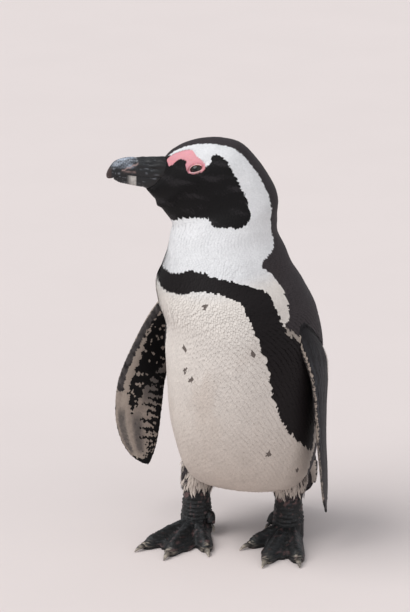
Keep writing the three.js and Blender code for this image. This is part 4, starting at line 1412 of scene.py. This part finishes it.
# The finishes: settings on the shader itself, then patterns. Each pattern is a texture, the real size
# of its grain in millimetres and its detail, and what it drives from its low to its high places:
# shade (times the piece's own tint), rough (roughness) and relief (depth in millimetres).
FINISHES = {
    # Feathers: matt keratin barbs, softly bright at their edges where light comes through them. The
    # barbs are drawn several times as coarse as real ones so that they show.
    "feather_barbs": (
        {"Roughness": 0.6, "IOR": 1.54, "Specular IOR Level": 0.14, "Sheen Weight": 0.03,
         "Sheen Roughness": 0.45},
        [{"texture": "noise", "size": 1.4, "detail": 2, "shade": (0.86, 1.1), "relief": 0.25},
         {"texture": "noise", "size": 17, "detail": 2, "shade": (0.9, 1.08)}]),
    # Skin between the feathers: down and shadow, quite matt.
    "down_and_skin": (
        {"Roughness": 0.85, "Specular IOR Level": 0.2},
        [{"texture": "noise", "size": 1.6, "detail": 3, "shade": (0.85, 1.0), "relief": 0.2}]),
    # Bare face: thin moist pink skin with fine wrinkles, light passing into it.
    "bare_face_skin": (
        {"Roughness": 0.42, "Specular IOR Level": 0.45, "Subsurface Weight": 0.25,
         "Subsurface Scale": 0.8 * MM},
        [{"texture": "cells", "size": 1.3, "detail": 0, "relief": 0.22},
         {"texture": "noise", "size": 6, "detail": 2, "shade": (0.88, 1.1)}]),
    # Legs and feet: dry leathery skin of close tubercles; their tops are painted lighter, a painted
    # highlight, and the creases between them darker, painted shade.
    "leg_leather": (
        {"Specular IOR Level": 0.4},
        [{"texture": "cells", "size": 2.2, "detail": 0, "shade": (1.35, 0.7), "relief": -0.5},
         {"texture": "noise", "size": 9, "detail": 4, "rough": (0.38, 0.72)}]),
    # Bill: smooth hard keratin with a fine mottle, glossy where rubbed.
    "bill_keratin": (
        {"IOR": 1.55, "Specular IOR Level": 0.36, "Coat Weight": 0.06, "Coat Roughness": 0.2},
        [{"texture": "noise", "size": 2.4, "detail": 4, "shade": (0.75, 1.2), "rough": (0.24, 0.5),
          "relief": 0.15}]),
    # Claws: the same horn, a little duller from the ground.
    "claw_keratin": (
        {"IOR": 1.55, "Specular IOR Level": 0.36, "Coat Weight": 0.06, "Coat Roughness": 0.2},
        [{"texture": "noise", "size": 2.4, "detail": 4, "shade": (0.75, 1.2), "rough": (0.28, 0.5),
          "relief": 0.15}]),
    # Eye: wet clear cornea over a dark brown iris; the coat is the tear film.
    "eye_cornea": (
        {"Roughness": 0.12, "IOR": 1.376, "Specular IOR Level": 0.35, "Coat Weight": 0.45,
         "Coat Roughness": 0.03},
        [{"texture": "noise", "size": 0.9, "detail": 2, "shade": (0.8, 1.2)}]),
    # Floor: plain matt pale board, with a tone so slight that it only breaks up flatness.
    "studio_floor": (
        {"Roughness": 0.9, "Specular IOR Level": 0.2},
        [{"texture": "noise", "size": 180, "detail": 2, "shade": (0.98, 1.02)}]),
}


def make_finish(name, settings, patterns):
    """One finish. Its colour is the piece's own tint, multiplied by one pattern after another."""
    made = bpy.data.materials.new(name)
    made.use_nodes = True
    tree = made.node_tree
    tree.nodes.clear()
    where = add(tree, "TexCoord").outputs["Object"]
    tint = add(tree, "Attribute", {"attribute_name": "tint"}).outputs["Color"]
    driven = {}
    for pattern in patterns:
        kind, fields = TEXTURES[pattern["texture"]]
        scale = 1 / (pattern["size"] * MM)
        grain = {"Vector": where, "Scale": scale, "Detail": pattern["detail"]}
        height = add(tree, kind, fields, grain).outputs[0]
        reach = {}
        for drive in ("shade", "rough"):
            if drive in pattern:
                low, high = pattern[drive]
                span = {"Value": height, "To Min": low, "To Max": high}
                reach[drive] = add(tree, "MapRange", inputs=span).outputs[0]
        if "shade" in reach:
            both = {0: 1.0, 6: tint, 7: reach["shade"]}
            tint = add(tree, "Mix", {"data_type": "RGBA", "blend_type": "MULTIPLY"}, both).outputs[2]
        if "rough" in reach:
            driven["Roughness"] = reach["rough"]
        if "relief" in pattern:
            depth = {"Height": height, "Distance": pattern["relief"] * MM, "Strength": 1.0}
            driven["Normal"] = add(tree, "Bump", inputs=depth).outputs[0]
    shader = add(tree, "BsdfPrincipled", inputs={**settings, **driven, "Base Color": tint})
    add(tree, "OutputMaterial", inputs={"Surface": shader.outputs[0]})


# ---------------------------------------------------------------- stage

# The camera: degrees round to the bird's left and above the floor, distance and aim, and its lens.
VIEW = {"around": 30, "above": 17, "distance": 3000, "aim": (-41.6, -11.8, 264.6), "lens": 163.4}
# Lamps: where each shines from, its strength, and how wide it looks in degrees.
LIGHTS = [("key", (-1.6, -1.9, 3.0), 2.2, 50), ("fill", (2.4, -1.2, 1.6), 0.5, 80)]
SKY_STRENGTH = 0.62
FLOOR_HALF = 14.0       # half the floor's side, in metres


def make_stage(look):
    """Pale floor, soft daylight from above and a fill, and the camera."""
    corners = np.array([(-1, -1, 0), (1, -1, 0), (1, 1, 0), (-1, 1, 0)]) * FLOOR_HALF
    mesh = bpy.data.meshes.new("floor")
    fill_mesh(mesh, corners, np.array([(0, 1, 2, 3)]), NO_TRIS)
    floor = in_scene("floor", mesh)
    paint(mesh, np.tile(look.floor, (4, 1)))
    mesh.materials.append(bpy.data.materials["studio_floor"])
    for name, place, strength, wide in LIGHTS:
        lamp = bpy.data.lights.new(name, "SUN")
        lamp.angle = math.radians(wide)
        lamp.energy = strength
        shown = in_scene(name, lamp)
        shown.location = place
        shown.rotation_euler = (-Vector(place)).to_track_quat("-Z", "Y").to_euler()
    world = bpy.data.worlds.new("soft_daylight")
    world.use_nodes = True
    background = world.node_tree.nodes["Background"].inputs
    background["Color"].default_value = (*look.sky, 1)
    background["Strength"].default_value = SKY_STRENGTH
    scene = bpy.context.scene
    scene.world = world
    scene.view_settings.view_transform = "Standard"
    around, above = math.radians(VIEW["around"]), math.radians(VIEW["above"])
    level = math.cos(above)
    back = Vector((math.sin(around) * level, -math.cos(around) * level, math.sin(above)))
    camera = bpy.data.cameras.new("camera")
    camera.lens = VIEW["lens"]
    camera.clip_end = 100
    holder = in_scene("camera", camera)
    holder.location = Vector(place_mm(np.array(VIEW["aim"]))) + back * VIEW["distance"] * MM
    holder.rotation_euler = (-back).to_track_quat("-Z", "Y").to_euler()
    scene.camera = holder


# ---------------------------------------------------------------- settings a user may change


def hue(name, hex_colour, about):
    """A colour setting with its default."""
    return FloatVectorProperty(name=name, description=about, subtype="COLOR", size=3, min=0, max=1,
                               default=linear(hex_colour))


class PenguinPlumage(bpy.types.PropertyGroup):
    """Colours and closeness of the feathers"""
    white: hue("White", "#dededf", "Neck and stripe of the face")
    belly: hue("Belly", "#dad3cc", "Breast and belly")
    # Lower belly, darker than the belly: partly stain, partly painted shade; also the base colour of the
    # painted shade under the flippers.
    belly_low: hue("Lower belly", "#c3b7ad", "Belly between the legs, stained a little")
    back: hue("Back", "#1f1a1b", "Back, rump and nape")
    back_tip: hue("Back feather ends", "#3e383a", "Ends of the back's feathers")
    band: hue("Breast band", "#171213", "Horseshoe band over breast and flanks")
    face: hue("Face", "#0f0d0e", "Face, chin and crown")
    # Painted sheen: the paler grey laid in streaks over the face's black.
    face_sheen: hue("Face, worn", "#2a2729", "Paler wear on the black of the face")
    spot: hue("Belly spots", "#6b625d", "Single dark feathers on the belly")
    flipper: hue("Flipper above", "#1f1c1e", "Outer side of the flippers")
    # Painted sheen: the bluish-grey of the streaks along the flippers' outer side.
    flipper_sheen: hue("Flipper above, streaks", "#545559", "Bluish-grey streaks along the outer side")
    taupe: hue("Flipper below", "#8c8078", "Inner side of the flippers")
    taupe_pale: hue("Flipper below, pale", "#a99c91", "Pale stripe along the leading edge")
    taupe_dark: hue("Flipper below, grey", "#55504f", "Grey stripe on the leading edge")
    vane_spacing: FloatProperty(
        name="Feather spacing", description="Between vanes on the trunk, in millimetres",
        default=2.5, min=1.5, max=6)


class PenguinBareParts(bpy.types.PropertyGroup):
    """Colours of skin, horn and eyes"""
    bare: hue("Skin over the eye", "#d08a92", "Bare patch from bill to eye")
    lid_rim: hue("Lid rim", "#ecc0bf", "Edge of the lids")
    leg: hue("Legs", "#131415", "Tarsus, toes and web")
    leg_pink: hue("Leg blotches", "#604847", "Pinkish-brown blotches")
    leg_dust: hue("Leg dust", "#4a4c50", "Dry grey skin on the tops of the folds")
    bill: hue("Bill", "#17181b", "Horn of the bill")
    # Partly rubbed horn, partly painted glints on the wrinkles.
    bill_wear_and_glint: hue("Bill, worn", "#73767c", "Horn rubbed paler")
    # Painted highlight: the bluish-grey on the top of the bill's front.
    bill_highlight: hue("Bill front", "#a3acba", "Bluish-grey front of the bill")
    bill_pink: hue("Bill streaks", "#b79a94", "Pinkish horn streaks")
    bill_pale: hue("Bill band", "#c2bdb8", "Pale band across the lower mandible")
    bill_tip: hue("Bill tip", "#4a3834", "Brownish horn of the hook")
    claw: hue("Claws", "#2c2827", "Claws at the root")
    claw_pale: hue("Claw ends", "#b3a899", "Claws where worn")
    iris: hue("Iris", "#1e120c", "Iris")
    pupil: hue("Pupil", "#050505", "Pupil")
    eye_corner: hue("Corner of the eye", "#5c3c3a", "Moist skin at the rear corner")


class PenguinStage(bpy.types.PropertyGroup):
    """Floor and daylight round the bird"""
    floor: hue("Floor", "#d8cecb", "Plain pale floor")
    sky: hue("Sky light", "#eef1f6", "Soft light from all round")


class Looks:
    """The settings' present values: colours as arrays of three, and numbers."""

    def __init__(self, scene):
        for group in (scene.penguin_plumage, scene.penguin_bare_parts, scene.penguin_stage):
            for name in group.__annotations__:
                value = getattr(group, name)
                setattr(self, name, value if isinstance(value, float) else np.array(tuple(value)))


# ---------------------------------------------------------------- operators


class PENGUIN_OT_materials(bpy.types.Operator):
    """Makes the finishes of feathers, skin, horn, eyes and floor"""
    bl_idname = "penguin.materials"
    bl_label = "Finishes"

    def execute(self, context):
        for name, (settings, patterns) in FINISHES.items():
            make_finish(name, settings, patterns)
        return {"FINISHED"}


FLESH = ["trunk", "neck", "head", "tail"] + [
    part + "_" + side for part in ("flipper", "shin", "tarsus", "foot", "hind_toe") for side in FLIPPERS]


class PENGUIN_OT_skin(bpy.types.Operator):
    """Makes one skin for the whole bird, with its lids and wrinkled legs and feet"""
    bl_idname = "penguin.skin"
    bl_label = "Skin"

    def execute(self, context):
        looks = Looks(context.scene)
        skin = make_skin()
        finishes = [bpy.data.materials[name] for name in ("down_and_skin", "bare_face_skin", "leg_leather")]
        settle(skin, finishes, FLESH)
        paint_skin(skin, looks)
        return {"FINISHED"}


class PENGUIN_OT_eyes(bpy.types.Operator):
    """Makes both eyes"""
    bl_idname = "penguin.eyes"
    bl_label = "Eyes"

    def execute(self, context):
        for side in (1, -1):
            make_eye(side, Looks(context.scene))
        return {"FINISHED"}


class PENGUIN_OT_bill(bpy.types.Operator):
    """Makes the two halves of the bill"""
    bl_idname = "penguin.bill"
    bl_label = "Bill"

    def execute(self, context):
        for name, stops in (("upper", UPPER_BILL), ("lower", LOWER_BILL)):
            make_bill(name, stops, Looks(context.scene))
        return {"FINISHED"}


class PENGUIN_OT_claws(bpy.types.Operator):
    """Makes the eight claws"""
    bl_idname = "penguin.claws"
    bl_label = "Claws"

    def execute(self, context):
        looks = Looks(context.scene)
        for side, leg in LEGS.items():
            for toe, tip in leg["toes"].items():
                along, across = heading_to(leg["ankle"], tip)
                flat = np.array(tip) + CLAW[:, :1] * along + CLAW[:, 1:2] * across
                stops = np.concatenate([flat, CLAW[:, 2:]], 1)
                make_claw(f"nail_{toe}_{side}", stops, (0, 0, 1), looks, f"claw_{toe}_{side}")
            make_claw(f"nail_hind_{side}", hind_stops(leg, HIND_CLAW), (0, 1, 0), looks, "hind_claw_" + side)
        return {"FINISHED"}


class PENGUIN_OT_body_coat(bpy.types.Operator):
    """Feathers trunk, neck and head"""
    bl_idname = "penguin.body_coat"
    bl_label = "Body feathers"

    def execute(self, context):
        looks = Looks(context.scene)
        tree = tree_of(bpy.data.objects["skin"])
        for number, span in enumerate(BODY_SPANS):
            dress(f"body_feathers_{number + 1}", body_surface, span, body_style(looks), tree, -1, number)
        return {"FINISHED"}


class PENGUIN_OT_flipper_coat(bpy.types.Operator):
    """Feathers both flippers"""
    bl_idname = "penguin.flipper_coat"
    bl_label = "Flipper feathers"

    def execute(self, context):
        looks = Looks(context.scene)
        tree = tree_of(bpy.data.objects["skin"])
        for number, (name, stations) in enumerate(FLIPPERS.items()):
            dress("flipper_feathers_" + name, partial(flipper_surface, stations),
                  (0.02, 0.99), flipper_style(name, looks), tree, 1, 20 + number)
        return {"FINISHED"}


class PENGUIN_OT_leg_coat(bpy.types.Operator):
    """Feathers both shins down to the bare legs"""
    bl_idname = "penguin.leg_coat"
    bl_label = "Leg feathers"

    def execute(self, context):
        looks = Looks(context.scene)
        tree = tree_of(bpy.data.objects["skin"])
        for number, (name, leg) in enumerate(LEGS.items()):
            dress("leg_feathers_" + name, partial(shin_surface, leg),
                  (0.02, 0.72), shin_style(looks), tree, 1, 30 + number)
        return {"FINISHED"}


class PENGUIN_OT_tail_coat(bpy.types.Operator):
    """Makes the tail's stiff feathers and the coverts at its root"""
    bl_idname = "penguin.tail_coat"
    bl_label = "Tail feathers"

    def execute(self, context):
        looks = Looks(context.scene)
        make_quills(looks)
        dress("tail_coverts", tail_surface, (0.02, 0.6), tail_style(looks),
              tree_of(bpy.data.objects["skin"]), 1, 40)
        return {"FINISHED"}


class PENGUIN_OT_stage(bpy.types.Operator):
    """Makes the floor, the lights and the camera"""
    bl_idname = "penguin.stage"
    bl_label = "Stage"

    def execute(self, context):
        make_stage(Looks(context.scene))
        return {"FINISHED"}


OPERATORS = [
    PENGUIN_OT_materials, PENGUIN_OT_skin, PENGUIN_OT_eyes, PENGUIN_OT_bill, PENGUIN_OT_claws,
    PENGUIN_OT_body_coat, PENGUIN_OT_flipper_coat, PENGUIN_OT_leg_coat, PENGUIN_OT_tail_coat,
    PENGUIN_OT_stage,
]


class PENGUIN_PT_panel(bpy.types.Panel):
    """Lists the steps that build the bird and their settings"""
    bl_idname = "PENGUIN_PT_panel"
    bl_label = "African Penguin"
    bl_space_type = "VIEW_3D"
    bl_region_type = "UI"
    bl_category = "Penguin"

    def draw(self, context):
        for step_class in OPERATORS:
            self.layout.operator(step_class.bl_idname)
        for group in (context.scene.penguin_plumage, context.scene.penguin_bare_parts,
                      context.scene.penguin_stage):
            for name in group.__annotations__:
                self.layout.prop(group, name)


GROUPS = {
    "penguin_plumage": PenguinPlumage,
    "penguin_bare_parts": PenguinBareParts,
    "penguin_stage": PenguinStage,
}


def register():
    for each in (*GROUPS.values(), *OPERATORS, PENGUIN_PT_panel):
        bpy.utils.register_class(each)
    for name, group in GROUPS.items():
        setattr(bpy.types.Scene, name, PointerProperty(type=group))


def unregister():
    for name in GROUPS:
        delattr(bpy.types.Scene, name)
    for each in reversed((*GROUPS.values(), *OPERATORS, PENGUIN_PT_panel)):
        bpy.utils.unregister_class(each)


def main():
    register()
    for step_class in OPERATORS:
        group, name = step_class.bl_idname.split(".")
        getattr(getattr(bpy.ops, group), name)()


if __name__ == "__main__":
    main()
